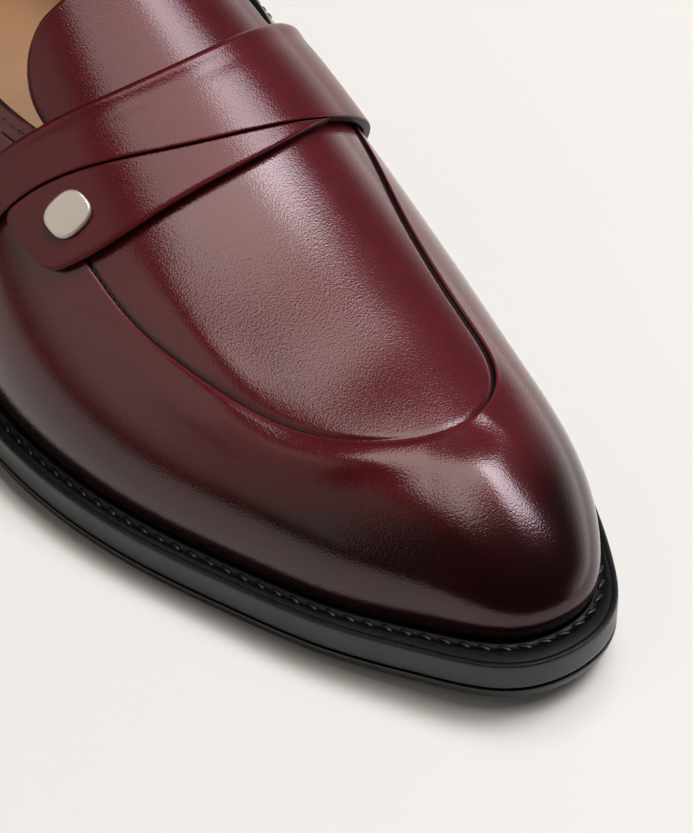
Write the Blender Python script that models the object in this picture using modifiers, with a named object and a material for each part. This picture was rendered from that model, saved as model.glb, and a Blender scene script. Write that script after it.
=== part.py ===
"""A right-foot loafer with a plain saddle strap, standing empty on its sole.

The tables and shape functions below are in millimetres, in the shoemaker's own frame:
x runs from the lateral side (-) to the medial side (+), along runs from the back of the
heel to the tip of the toe, and z runs up from the ground.  build_object turns them into
metres, with the toe toward -Y and the origin on the ground, under the middle of the sole.
"""
import math

import bmesh
import bpy
import numpy as np
from mathutils import Matrix, Vector

MM = 0.001

# ---- driving sizes, millimetres ----
LENGTH = 300.0
OUTSOLE = 2.8
MIDSOLE = 3.9
MIDSOLE_UNDERCUT = 0.7         # its lower edge draws in, leaving a groove above the outsole
WELT_THICKNESS = 2.7
INSOLE = 4.0
SEAT = 0.3                     # gap between pieces that touch on the real shoe
HEEL_RISE = 21.3               # ground to the underside of the outsole at the heel
TOP_LIFT = 6.0
HEEL_TAPER = 1.2               # the heel is this much smaller all round at the ground
HEEL_BREAST = 72.0             # along, front face of the heel
ARCH_FRONT = 186.0             # along, where the arch comes down to the ground
TOE_LIFTS_AT = 222.0           # along, where the toe spring starts
TOE_SPRING = 5.0
WALL = 2.4                     # upper leather and lining
APRON_STEP = 0.7               # the walls lie this much above the apron
STRAP_GAP = 0.5
STRAP_THICKNESS = 1.9
TONGUE_THICKNESS = 1.9
SLIT = 0.4                     # between the strap's rear band and its front tab

SOLE = OUTSOLE + SEAT + MIDSOLE + SEAT + WELT_THICKNESS

# Welt's outer edge in plan: heel, lateral side, toe, medial side.
OUTLINE = [  # x, along
    (0.0, 0.0), (-22.5, 10.5), (-33.0, 36.0), (-35.5, 75.0), (-40.5, 110.0), (-51.0, 142.0),
    (-58.8, 170.0), (-59.0, 195.0), (-53.2, 221.0), (-44.3, 244.0), (-35.5, 264.0), (-24.5, 282.2),
    (-11.5, 297.3), (0.0, 300.0), (11.3, 296.4), (20.4, 284.5), (28.3, 267.0), (34.8, 244.0),
    (39.6, 215.0), (41.4, 185.0), (38.0, 152.0), (33.0, 118.0), (32.5, 80.0), (32.5, 38.0), (22.5, 10.5),
]
WELT = [  # along, width on the lateral side, width on the medial side
    (0, 3.5, 3.5), (60, 3.8, 3.6), (110, 4.0, 3.8), (150, 4.4, 4.2), (190, 4.9, 4.6),
    (240, 5.2, 4.6), (270, 5.8, 4.4), (288, 7.2, 4.2), (300, 8.8, 5.0),
]
CROWN = [  # along, height of the last's ridge, x of the ridge
    (0, 134.0, 0.0), (60, 124.0, 0.0), (100, 98.0, 1.0), (125, 84.0, 2.0), (150, 71.8, 3.0),
    (170, 63.5, 3.5), (188, 56.5, 3.5), (210, 49.6, 3.0), (230, 44.8, 2.3), (252, 40.2, 1.5),
    (275, 35.7, 1.0), (300, 30.5, 0.5),
]
SECTION = [  # along, radius at the ridge, wall handle lateral, medial, bulge lateral, medial
    (0, 9.0, 0.45, 0.45, 8.0, 8.0),
    (60, 9.0, 0.45, 0.45, 7.0, 7.0),
    (110, 20.0, 0.48, 0.58, 6.0, 6.5),
    (150, 40.0, 0.50, 0.68, 4.0, 7.0),
    (186, 62.0, 0.53, 0.74, 1.0, 2.6),
    (220, 70.0, 0.55, 0.67, 0.0, 1.2),
    (252, 68.0, 0.56, 0.56, -0.5, 3.2),
    (280, 68.0, 0.55, 0.62, -2.0, 10.5),
    (300, 64.0, 0.52, 0.63, -2.0, 11.5),
]
TOE_POLE = 240.0               # along, where the toe's sections meet
HEEL_POLE = 34.0               # along, where the heel's sections meet
POLE_SOFTNESS = 8.0
RIDGE_RADII = (9.0, 250.0)     # of the last's top, lengthwise, at heel pole and toe pole

COLLAR = [  # along, height of the top edge of the quarters
    (0, 89.0), (25, 86.5), (50, 80.5), (75, 73.0), (100, 66.5), (125, 61.5), (145, 58.6), (158, 57.5),
]
THROAT_SIDES = 158.0           # along, where the top edge turns across the foot
THROAT_FRONT = 174.5
THROAT_ANGLES = (0, 22, 44, 66, 90)
THROAT_CLEAR = 3.0             # other columns keep this far from the throat's
APRON = [  # x, along: the apron's seam in plan, from the lateral leg round to the medial leg
    (-33.0, 150.0), (-35.8, 188.0), (-32.7, 212.0), (-25.0, 235.0), (-12.5, 250.6), (1.5, 256.5),
    (12.8, 253.6), (19.0, 244.8), (21.0, 230.0), (25.2, 205.7), (31.3, 182.0), (33.0, 150.0),
]
APRON_CENTRE = (-3.0, 205.0)
APRON_STEP_FROM = 145.0        # along, where the apron starts to lie lower than the walls
APRON_STEP_RUN = 15.0
SEAM_STARTS = 150.0            # along; behind it the seam's legs run level under the strap

STRAP = [  # share of girth (lateral -), along of rear edge, of the slit, of the front edge
    (-1.00, 137.0, 155.0, 155.0),
    (-0.70, 147.0, 160.0, 172.0),
    (-0.50, 153.0, 163.9, 182.4),
    (-0.34, 157.8, 170.3, 185.7),
    (-0.18, 162.0, 177.3, 187.3),
    (0.00, 163.8, 182.2, 187.8),
    (0.16, 162.8, 184.1, 186.6),
    (0.30, 160.6, 184.6, 184.6),
    (0.45, 157.0, 182.6, 182.6),
    (0.70, 149.0, 175.0, 175.0),
    (1.00, 139.0, 165.0, 165.0),
]
TAB_END = -0.585               # share of girth at the tab's free end
TAB_TIP = 0.27                 # share of girth at the tab's pointed end
TAB_CORNER = 3.0
BAND_FOOT = 0.985              # share of girth where the band reaches the welt
BADGE_AT = (174.0, -0.455)     # along, share of girth
BADGE_SIZE = (8.6, 9.8, 1.2)
BADGE_EDGE = 0.25
BADGE_FULLNESS = 0.78          # of the handles of its rounded outline, as a share of its reach

TONGUE_BACK = 140.0
TONGUE_CORNER = 14.0
TONGUE_GAP = 0.5

# ---- fineness of the meshes ----
OUTLINE_SAMPLES = 1440
SIDE_STATIONS = 44             # columns of the upper on each side
SOLE_STATIONS = 44
HEEL_STATIONS = 20
TIP_CROWDING = 0.6             # how much closer stations lie at heel and toe than between
WALL_ROWS = 8
APRON_ROWS = 6
LEDGE_SHARE = 0.12             # of a row, over which the skin steps down to the apron
BAND_ROWS = 35
TAB_ROWS = 14
TONGUE_ROWS = 13
CORNER_ANGLES = (0, 25, 50, 75)
GIRTH_SAMPLES = 97


def spline(rows, at, column=1):
    """Natural cubic spline through one column of a table whose first column is the place."""
    places = np.array([row[0] for row in rows], float)
    values = np.array([row[column] for row in rows], float)
    count = len(places)
    step = np.diff(places)
    slope = np.diff(values) / step
    matrix = np.eye(count)
    right = np.zeros(count)
    for i in range(1, count - 1):
        matrix[i, i - 1:i + 2] = step[i - 1], 2 * (step[i - 1] + step[i]), step[i]
        right[i] = 6 * (slope[i] - slope[i - 1])
    bend = np.linalg.solve(matrix, right)
    at = np.clip(np.asarray(at, float), places[0], places[-1])
    k = np.clip(np.searchsorted(places, at) - 1, 0, count - 2)
    t = at - places[k]
    h = step[k]
    first = slope[k] - h * (2 * bend[k] + bend[k + 1]) / 6
    return values[k] + t * (first + t * (bend[k] / 2 + t * (bend[k + 1] - bend[k]) / (6 * h)))


def closed_curve(points, samples):
    """Smooth closed curve through plan points, as evenly spaced samples."""
    loop = [points[i % len(points)] for i in range(-4, len(points) + 5)]
    chord = np.concatenate([[0.0], np.cumsum(np.linalg.norm(np.diff(loop, axis=0), axis=1))])
    table = [(c, p[0], p[1]) for c, p in zip(chord, loop)]
    at = np.linspace(chord[4], chord[4 + len(points)], samples * 6)
    dense = np.stack([spline(table, at, 1), spline(table, at, 2)], 1)
    run = np.concatenate([[0.0], np.cumsum(np.linalg.norm(np.diff(dense, axis=0), axis=1))])
    even = np.linspace(0.0, run[-1], samples, endpoint=False)
    return np.stack([np.interp(even, run, dense[:, 0]), np.interp(even, run, dense[:, 1])], 1)


def inset(curve, distance):
    """The closed curve moved inward by a distance, which may vary along it."""
    ahead = np.roll(curve, -1, 0) - np.roll(curve, 1, 0)
    ahead /= np.linalg.norm(ahead, axis=1)[:, None]
    inward = np.stack([ahead[:, 1], -ahead[:, 0]], 1)
    return curve + inward * np.reshape(distance, (-1, 1))


def soft_least(a, limit):
    """The lesser of a and the limit, turning smoothly from one to the other."""
    return limit - POLE_SOFTNESS * np.logaddexp(0.0, (limit - a) / POLE_SOFTNESS)


def ridge_station(along):
    """Where on the ridge a section ends that starts at this station of the welt."""
    return -soft_least(-soft_least(along, TOE_POLE), -HEEL_POLE)


def medial_share(x, along):
    """0 on the lateral side and 1 on the medial side, turning smoothly round toe and heel."""
    ridge = ridge_station(along)
    across = x - spline(CROWN, ridge, 2)
    share = 0.5 + 0.5 * across / np.hypot(across, along - ridge)
    return share * share * (3 - 2 * share)


def between(share, lateral, medial):
    return lateral * (1 - share) + medial * share


def sole_bottom(along):
    """Height of the outsole's underside: flat heel seat, arch, flat tread and toe spring."""
    along = np.asarray(along, float)
    toe = np.clip((along - TOE_LIFTS_AT) / (LENGTH - TOE_LIFTS_AT), 0, None)
    arch = np.clip((ARCH_FRONT - along) / (ARCH_FRONT - HEEL_BREAST), 0, 1)
    return TOE_SPRING * toe ** 2 + HEEL_RISE * arch ** 3 * (10 + arch * (6 * arch - 15))


def sole_top(along):
    return sole_bottom(along) + SOLE


EDGE = closed_curve(OUTLINE, OUTLINE_SAMPLES)
EDGE_MEDIAL = medial_share(EDGE[:, 0], EDGE[:, 1])
WELT_WIDTH = between(EDGE_MEDIAL, spline(WELT, EDGE[:, 1], 1), spline(WELT, EDGE[:, 1], 2))
FEATHER = inset(EDGE, WELT_WIDTH)              # where the upper meets the welt
CENTRE_X = (EDGE[:, 0].min() + EDGE[:, 0].max()) / 2


def halves(curve):
    """Lateral and medial halves of a closed plan curve, each from heel to toe."""
    start = curve[:, 1].argmin()
    turned = np.roll(curve, -start, 0)
    tip = turned[:, 1].argmax()
    lateral = turned[:tip + 1]
    medial = np.vstack([turned[tip:], turned[:1]])[::-1]
    return lateral, medial


def side_x(curve, along, side):
    """x of a closed curve at a station, side -1 for lateral and 1 for medial."""
    line = halves(curve)[0 if side < 0 else 1]
    return np.interp(along, line[:, 1], line[:, 0])


def crowded(count, laps=1):
    """count + 1 shares from 0 to 1, closer together at the ends of each lap."""
    even = np.linspace(0.0, 1.0, count + 1)
    turn = 2 * math.pi * laps
    return even - TIP_CROWDING * np.sin(turn * even) / turn


def stations(curve, count, end=LENGTH):
    """Stations from the heel forward, spaced along the curve's lateral half."""
    line = halves(curve)[0]
    line = line[line[:, 1] <= end]
    run = np.concatenate([[0.0], np.cumsum(np.linalg.norm(np.diff(line, axis=0), axis=1))])
    return np.interp(crowded(count) * run[-1], run, line[:, 1])


def skin(x, along, v):
    """Outer surface of the last: v is 0 at the feather point (x, along) and 1 on the ridge."""
    ridge = ridge_station(along)
    ridge_x = spline(CROWN, ridge, 2)
    across, back = x - ridge_x, along - ridge
    reach = np.hypot(across, back)
    medial = medial_share(x, along)
    floor = sole_top(along) + SEAT
    wall = between(medial, spline(SECTION, ridge, 2), spline(SECTION, ridge, 3))
    bulge = between(medial, spline(SECTION, along, 4), spline(SECTION, along, 5)) / reach
    rise = spline(CROWN, ridge) - floor
    lengthwise = np.interp(ridge, (HEEL_POLE, TOE_POLE), RIDGE_RADII)
    curvature = ((across / reach) ** 2 / spline(SECTION, ridge, 1) + (back / reach) ** 2 / lengthwise)
    shoulder = np.sqrt(2 / 3 * rise * (1 - wall) / curvature) / reach
    u = 1 - v
    out = u ** 3 + 3 * u * u * v * (1 + bulge) + 3 * u * v * v * shoulder
    up = 3 * u * u * v * wall + 3 * u * v * v + v ** 3
    place = ridge + back * out
    return np.stack([ridge_x + across * out, place, floor + (spline(CROWN, place) - floor) * up], -1)


def skin_normal(x, along, v, toward):
    """Unit outward normal; toward is the plan direction of the feather line at the point."""
    nudge, small = 0.2, 0.004
    ahead = skin(x + nudge * toward[..., 0], along + nudge * toward[..., 1], v)
    behind = skin(x - nudge * toward[..., 0], along - nudge * toward[..., 1], v)
    low, high = np.clip(v - small, 0, 1), np.clip(v + small, 0, 1)
    normal = np.cross(skin(x, along, high) - skin(x, along, low), ahead - behind)
    place = ridge_station(along)
    slope = (spline(CROWN, place + 1.0) - spline(CROWN, place - 1.0)) / 2.0
    upright = np.stack([0 * slope, -slope, 1 + 0 * slope], -1)
    near_ridge = v > 1 - small
    normal = np.where(near_ridge[..., None], upright, normal)
    return normal / np.linalg.norm(normal, axis=-1, keepdims=True)


def lifted(x, along, v, toward, lift):
    """Point at a height above the last's surface."""
    return skin(x, along, v) + skin_normal(x, along, v, toward) * np.reshape(lift, (-1, 1))


def feather_travel(x, along):
    """Plan direction of the feather line where it passes a point."""
    nearest = np.hypot(FEATHER[:, 0] - x, FEATHER[:, 1] - along).argmin()
    ahead = FEATHER[(nearest + 2) % OUTLINE_SAMPLES] - FEATHER[nearest - 2]
    return ahead / np.linalg.norm(ahead)


def girth(x, along):
    """Samples of v up a section, with the distance over the skin from the ridge to each."""
    v = np.linspace(0.0, 1.0, GIRTH_SAMPLES)
    points = skin(np.full_like(v, x), np.full_like(v, along), v)
    run = np.linalg.norm(np.diff(points, axis=0), axis=1)
    from_ridge = np.concatenate([np.cumsum(run[::-1])[::-1], [0.0]])
    return v, points, from_ridge


def collar_share(x, along, side):
    """v where the column that starts at a feather point ends: the top edge, or 1 on the ridge."""
    if along >= THROAT_FRONT:
        return 1.0
    v, points, from_ridge = girth(x, along)
    if along <= THROAT_SIDES:
        above = points[:, 2] - spline(COLLAR, points[:, 1])
        return float(np.interp(0.0, above, v))
    turn = (along - THROAT_SIDES) / (THROAT_FRONT - THROAT_SIDES)
    width = throat_half(side) * math.sqrt(1 - turn * turn)
    return float(np.interp(-width, -from_ridge, v))


def throat_turn(angle, gap=0.0):
    """Station and share of the throat's half width at an angle round its front, 90 at the ridge."""
    return (THROAT_SIDES + (THROAT_FRONT - gap - THROAT_SIDES) * math.sin(math.radians(angle)),
            math.cos(math.radians(angle)))


def throat_half(side):
    """Distance over the skin from the ridge to the top edge, where the edge turns across."""
    v, points, from_ridge = girth(side_x(FEATHER, THROAT_SIDES, side), THROAT_SIDES)
    above = points[:, 2] - spline(COLLAR, points[:, 1])
    return float(np.interp(0.0, above, from_ridge))


def apron_radius():
    """The apron's seam as a radius about its centre, by angle."""
    table = [(i, x, along) for i, (x, along) in enumerate(APRON)]
    at = np.linspace(0, len(APRON) - 1, 400)
    x = spline(table, at, 1) - APRON_CENTRE[0]
    along = spline(table, at, 2) - APRON_CENTRE[1]
    angle = np.unwrap(np.arctan2(x, along))
    return angle, np.hypot(x, along)


APRON_ANGLES, APRON_RADII = apron_radius()
LEG_MARGIN = 5.0               # the seam's legs keep this far below the top edge


def seam_share(x, along, top):
    """v where a column crosses the apron's seam."""
    v, points, from_ridge = girth(x, along)
    across = points[:, 0] - APRON_CENTRE[0]
    ahead = points[:, 1] - APRON_CENTRE[1]
    angle = np.arctan2(across, ahead)
    outside = np.hypot(across, ahead) - np.interp(angle, APRON_ANGLES, APRON_RADII)
    edge = float(np.interp(top, v, from_ridge))
    limit = float(np.interp(-(edge + LEG_MARGIN), -from_ridge, v))
    if along < SEAM_STARTS or outside[-1] > 0:
        return limit
    crossing = float(np.interp(0.0, -outside, v))
    return min(crossing, limit)


def even_shares(x, along, low, high, count):
    """count + 1 values of v, evenly spaced over the skin from low to high."""
    v, points, from_ridge = girth(x, along)
    first, last = np.interp([low, high], v, from_ridge)
    return np.interp(-np.linspace(first, last, count + 1), -from_ridge, v)


def to_world(points):
    """Shoemaker's millimetres to metres in the object's frame."""
    points = np.asarray(points, float)
    return [Vector(((x - CENTRE_X) * MM, (LENGTH / 2 - along) * MM, z * MM)) for x, along, z in points]


def material(name, colour, roughness, metallic=0.0):
    """Principled material from a linear colour."""
    made = bpy.data.materials.new(name)
    made.use_nodes = True
    shader = made.node_tree.nodes["Principled BSDF"]
    shader.inputs["Base Color"].default_value = (*colour, 1.0)
    shader.inputs["Roughness"].default_value = roughness
    shader.inputs["Metallic"].default_value = metallic
    return made


def build_object(name, points, faces, finish, smooth_angle=35.0):
    """Object from shoemaker's points and faces, with its doubled points welded."""
    mesh = bpy.data.meshes.new(name)
    mesh.from_pydata(to_world(points), [], faces)
    shape = bmesh.new()
    shape.from_mesh(mesh)
    bmesh.ops.remove_doubles(shape, verts=shape.verts, dist=0.001 * MM)
    bmesh.ops.dissolve_degenerate(shape, edges=shape.edges, dist=0.001 * MM)
    bmesh.ops.recalc_face_normals(shape, faces=shape.faces)
    shape.to_mesh(mesh)
    shape.free()
    mesh.materials.append(finish)
    mesh.shade_smooth()
    mesh.set_sharp_from_angle(angle=math.radians(smooth_angle))
    made = bpy.data.objects.new(name, mesh)
    PARTS.objects.link(made)
    return made


def grid_faces(columns, rows, first=0, closed=False, flip=False):
    """Quads of a grid stored column by column."""
    faces = []
    for c in range(columns if closed else columns - 1):
        d = (c + 1) % columns
        for r in range(rows - 1):
            quad = [first + c * rows + r, first + d * rows + r,
                    first + d * rows + r + 1, first + c * rows + r + 1]
            faces.append(quad[::-1] if flip else quad)
    return faces


def plate(name, finish, low_curve, high_curve, low, high, steps=SOLE_STATIONS, end=LENGTH):
    """Closed plate between two plan outlines, low and high being its heights by station."""
    points, rings = [], []
    for curve, height in ((low_curve, low), (high_curve, high)):
        along = stations(curve, steps, end)
        lateral = [(side_x(curve, s, -1), s, float(height(s))) for s in along]
        medial = [(side_x(curve, s, 1), s, float(height(s))) for s in along]
        rings.append(len(points))
        points += lateral + medial
    count = steps + 1
    faces = []
    for ring in rings:
        for i in range(count - 1):
            faces.append([ring + i, ring + i + 1, ring + count + i + 1, ring + count + i])
    low_ring, high_ring = rings
    around = list(range(count)) + [count + i for i in reversed(range(count))]
    for a, b in zip(around, around[1:] + around[:1]):
        faces.append([low_ring + a, low_ring + b, high_ring + b, high_ring + a])
    return build_object(name, points, faces, finish)


def ring_plate(name, finish, outer, inner, low, high):
    """Flat rim between two closed outlines that share their samples."""
    picks = np.rint(crowded(2 * SOLE_STATIONS, laps=2)[:-1] * OUTLINE_SAMPLES).astype(int)
    points = []
    for a, b in zip(outer[picks], inner[picks]):
        points += [(*a, float(low(a[1]))), (*a, float(high(a[1]))),
                   (*b, float(high(b[1]))), (*b, float(low(b[1])))]
    columns = len(points) // 4
    faces = []
    for c in range(columns):
        d = (c + 1) % columns
        for r in range(4):
            s = (r + 1) % 4
            faces.append([4 * c + r, 4 * c + s, 4 * d + s, 4 * d + r])
    return build_object(name, points, faces, finish)


def upper_columns():
    """Feather points round the shoe: heel, lateral side, toe and medial side."""
    along = stations(FEATHER, SIDE_STATIONS)
    turns = [throat_turn(a)[0] for a in THROAT_ANGLES]
    clear = (along < turns[0] - THROAT_CLEAR) | (along > turns[-1] + THROAT_CLEAR)
    along = np.sort(np.concatenate([along[clear], turns]))
    lateral = [(float(side_x(FEATHER, s, -1)), float(s), -1) for s in along]
    medial = [(float(side_x(FEATHER, s, 1)), float(s), 1) for s in along[1:-1]]
    return lateral + medial[::-1]


def make_upper(finish):
    """One hollow shell: walls, the lower apron inside them, and the quarters round the heel."""
    outer, inner, closed = [], [], []
    for x, along, side in upper_columns():
        top = collar_share(x, along, side)
        seam = seam_share(x, along, top)
        closed.append(top == 1.0)
        wall = even_shares(x, along, 0.0, seam, WALL_ROWS)
        apron = even_shares(x, along, seam, top, APRON_ROWS)
        step = APRON_STEP * np.clip((along - APRON_STEP_FROM) / APRON_STEP_RUN, 0, 1)
        ledge = apron[0] + LEDGE_SHARE * (apron[1] - apron[0])
        v = np.concatenate([wall, [ledge], apron[1:]])
        lift = np.concatenate([np.zeros(len(wall)), -step * np.ones(APRON_ROWS + 1)])
        toward = np.broadcast_to(feather_travel(x, along), (len(v), 2))
        xs, ss = np.full_like(v, x), np.full_like(v, along)
        outer += list(lifted(xs, ss, v, toward, lift))
        inner += list(lifted(xs, ss, v, toward, np.full_like(v, -WALL)))
    rows = WALL_ROWS + APRON_ROWS + 2
    columns = len(closed)
    base = columns * rows
    faces = grid_faces(columns, rows, 0, closed=True)
    faces += grid_faces(columns, rows, base, closed=True, flip=True)
    for c in range(columns):
        d = (c + 1) % columns
        faces.append([c * rows, base + c * rows, base + d * rows, d * rows])
        if not (closed[c] and closed[d]):
            e, f = c * rows + rows - 1, d * rows + rows - 1
            faces.append([e, f, base + f, base + e])
    return build_object("upper", outer + inner, faces, finish)


def on_strap(along, share, lift):
    """Point over the instep at a station and a share of its girth, lateral shares below 0."""
    side = -1 if share < 0 else 1
    x = float(side_x(FEATHER, along, side))
    v, points, from_ridge = girth(x, along)
    at = float(np.interp(-abs(share) * from_ridge[0], -from_ridge, v))
    toward = feather_travel(x, along)[None]
    return lifted(np.array([x]), np.array([along]), np.array([at]), toward, lift)[0]


def sheet(name, finish, rows, thickness):
    """Open sheet through rows of points, thickened outward."""
    points = [p for row in rows for p in row]
    made = build_object(name, points, grid_faces(len(rows), len(rows[0])), finish)
    face_out(made)
    thicken = made.modifiers.new("thickness", "SOLIDIFY")
    thicken.thickness = thickness * MM
    thicken.offset = 1.0
    thicken.use_even_offset = True
    return made


def face_out(made):
    """Turn an open sheet's faces up, away from the foot."""
    mesh = made.data
    if sum(face.normal.z * face.area for face in mesh.polygons) < 0:
        mesh.flip_normals()


def make_band(finish):
    """Rear band of the saddle strap, from welt to welt."""
    rows = []
    for share in np.linspace(-BAND_FOOT, BAND_FOOT, BAND_ROWS):
        rear, slit = spline(STRAP, share, 1), spline(STRAP, share, 2)
        rows.append([on_strap(s, share, STRAP_GAP) for s in np.linspace(rear, slit, 5)])
    return sheet("strap_band", finish, rows, STRAP_THICKNESS)


def make_tab(finish):
    """Front tab of the strap: a rounded free end on the lateral side and a pointed tip."""
    girth_mm = girth(float(side_x(FEATHER, 172.0, -1)), 172.0)[2][0]
    corner = TAB_CORNER / girth_mm
    near_end = [TAB_END + corner * (1 - math.cos(a)) for a in np.radians(CORNER_ANGLES)]
    rest = np.linspace(TAB_END + corner, TAB_TIP, TAB_ROWS)
    rows = []
    for share in list(near_end) + list(rest):
        rear, front = spline(STRAP, share, 2) + SLIT, spline(STRAP, share, 3)
        left = max(TAB_END + corner - share, 0.0) * girth_mm
        cut = TAB_CORNER - math.sqrt(max(TAB_CORNER ** 2 - left ** 2, 0.0))
        rows.append([on_strap(s, share, STRAP_GAP) for s in np.linspace(rear + cut, front - cut, 4)])
    return sheet("strap_tab", finish, rows, STRAP_THICKNESS)


def make_tongue(finish):
    """Free end of the apron: fills the throat and rises behind the strap."""
    outline = []               # station, inset from the tongue's side, share of its width
    for angle in CORNER_ANGLES:
        left = TONGUE_CORNER * math.cos(math.radians(angle))
        outline.append((TONGUE_BACK + TONGUE_CORNER - left,
                        TONGUE_CORNER * (1 - math.sin(math.radians(angle))), 1.0))
    outline.append((TONGUE_BACK + TONGUE_CORNER, 0.0, 1.0))
    outline += [(*throat_turn(a, TONGUE_GAP)[:1], 0.0, throat_turn(a)[1]) for a in THROAT_ANGLES]
    rows = []
    for along, cut, share in outline:
        row = []
        for part in np.linspace(-1, 1, TONGUE_ROWS):
            side = -1 if part < 0 else 1
            half = (throat_half(side) - TONGUE_GAP) * share - cut
            total = girth(float(side_x(FEATHER, along, side)), along)[2][0]
            row.append(on_strap(along, part * half / total, -APRON_STEP - TONGUE_THICKNESS))
        rows.append(row)
    return sheet("tongue", finish, rows, TONGUE_THICKNESS)


def make_badge(finish):
    """Cushion-shaped plate on the tab, square to the leather under it."""
    width, height, depth = (size * MM for size in BADGE_SIZE)
    edge = BADGE_EDGE * MM
    outline = bpy.data.curves.new("badge", "CURVE")
    outline.dimensions = "2D"
    outline.fill_mode = "BOTH"
    outline.extrude = depth / 2 - edge
    outline.bevel_depth = edge
    outline.bevel_resolution = 1
    outline.resolution_u = 5
    path = outline.splines.new("BEZIER")
    path.bezier_points.add(3)
    path.use_cyclic_u = True
    reach_x, reach_y = width / 2 - edge, height / 2 - edge
    corners = [
        ((reach_x, 0), (0, 1)),
        ((0, reach_y), (-1, 0)),
        ((-reach_x, 0), (0, -1)),
        ((0, -reach_y), (1, 0)),
    ]
    for point, ((x, y), (dx, dy)) in zip(path.bezier_points, corners):
        handle = Vector((dx * reach_x, dy * reach_y, 0)) * BADGE_FULLNESS
        point.co = Vector((x, y, 0))
        point.handle_left = point.co - handle
        point.handle_right = point.co + handle
    outline.materials.append(finish)
    made = bpy.data.objects.new("badge", outline)
    along, share = BADGE_AT
    seat, top, ahead, aside = to_world([
        on_strap(along, share, STRAP_GAP), on_strap(along, share, STRAP_GAP + STRAP_THICKNESS + SEAT),
        on_strap(along + 3, share, STRAP_GAP), on_strap(along, share + 0.03, STRAP_GAP)])
    up = (top - seat).normalized()
    across = (ahead - seat) - up * (ahead - seat).dot(up)
    across.normalize()
    turned = Matrix((across, up.cross(across), up)).transposed().to_4x4()
    made.matrix_world = Matrix.Translation(top + up * (depth / 2)) @ turned
    PARTS.objects.link(made)
    return made


def make_sole(welt_finish, sole_finish, lift_finish, insole_finish):
    """The layers under the upper, from the ground up."""
    def height(above):
        return lambda along: sole_bottom(along) + above

    ground_edge = inset(EDGE, HEEL_TAPER)
    lift_edge = inset(EDGE, HEEL_TAPER * (1 - TOP_LIFT / HEEL_RISE))
    plate("top_lift", lift_finish, ground_edge, lift_edge,
          lambda s: 0.0, lambda s: TOP_LIFT, HEEL_STATIONS, HEEL_BREAST)
    plate("heel_stack", sole_finish, lift_edge, EDGE,
          lambda s: TOP_LIFT + SEAT, lambda s: HEEL_RISE - SEAT, HEEL_STATIONS, HEEL_BREAST)
    plate("outsole", sole_finish, EDGE, EDGE, height(0.0), height(OUTSOLE))
    midsole_low = OUTSOLE + SEAT
    plate("midsole", sole_finish, inset(EDGE, MIDSOLE_UNDERCUT), EDGE,
          height(midsole_low), height(midsole_low + MIDSOLE))
    welt_low = midsole_low + MIDSOLE + SEAT
    ring_plate("welt", welt_finish, EDGE, inset(FEATHER, WALL), height(welt_low), height(SOLE))
    insole_edge = inset(FEATHER, WALL + 0.5)
    plate("insole", insole_finish, insole_edge, insole_edge, height(welt_low), height(welt_low + INSOLE))


for old in list(bpy.data.objects):
    bpy.data.objects.remove(old, do_unlink=True)

PARTS = bpy.data.collections.new("Loafer")
bpy.context.scene.collection.children.link(PARTS)

BURGUNDY = material("burgundy_calf", (0.085, 0.010, 0.016), 0.28)
STRAP_CALF = material("strap_calf", (0.085, 0.010, 0.016), 0.26)
TONGUE_CALF = material("tongue_calf", (0.080, 0.011, 0.016), 0.30)
SOLE_BLACK = material("sole_edge_black", (0.010, 0.010, 0.011), 0.32)
WELT_BLACK = material("welt_black", (0.008, 0.008, 0.009), 0.45)
LIFT_BLACK = material("top_lift_rubber", (0.012, 0.012, 0.012), 0.60)
INSOLE_TAN = material("insole_leather", (0.36, 0.20, 0.11), 0.55)
STEEL = material("badge_steel", (0.60, 0.58, 0.55), 0.25, 1.0)

make_sole(WELT_BLACK, SOLE_BLACK, LIFT_BLACK, INSOLE_TAN)
make_upper(BURGUNDY)
make_tongue(TONGUE_CALF)
make_band(STRAP_CALF)
make_tab(STRAP_CALF)
make_badge(STEEL)
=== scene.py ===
"""Dresses the loafer: the polished calf upper, strap and tongue, the stitched welt, the black sole
edges, the heel, the lining and the blank badge, on a pale floor under soft studio light.

The shapes come from the same tables as the solids, in millimetres, in the shoemaker's frame:
x from the lateral side (-) to the medial side (+), along from the back of the heel to the tip of
the toe, z up from the ground.  make_piece turns them into metres in the frame of the solids.
"""
import functools
import math
import random

import bmesh
import bpy
import numpy as np
from mathutils import Matrix, Vector


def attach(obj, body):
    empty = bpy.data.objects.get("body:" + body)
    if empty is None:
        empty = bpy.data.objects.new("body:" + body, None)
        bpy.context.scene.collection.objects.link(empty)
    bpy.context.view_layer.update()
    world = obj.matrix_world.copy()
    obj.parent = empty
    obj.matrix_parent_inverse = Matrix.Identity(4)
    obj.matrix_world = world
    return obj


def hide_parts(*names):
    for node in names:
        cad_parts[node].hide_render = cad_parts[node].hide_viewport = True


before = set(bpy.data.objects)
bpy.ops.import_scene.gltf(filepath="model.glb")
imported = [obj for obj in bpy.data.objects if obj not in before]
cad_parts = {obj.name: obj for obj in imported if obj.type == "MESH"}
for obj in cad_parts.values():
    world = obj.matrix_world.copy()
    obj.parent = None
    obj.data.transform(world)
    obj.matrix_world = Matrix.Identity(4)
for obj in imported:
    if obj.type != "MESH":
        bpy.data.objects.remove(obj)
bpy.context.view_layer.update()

MM = 0.001
SIDES = (-1, 1)  # lateral, medial

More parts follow.
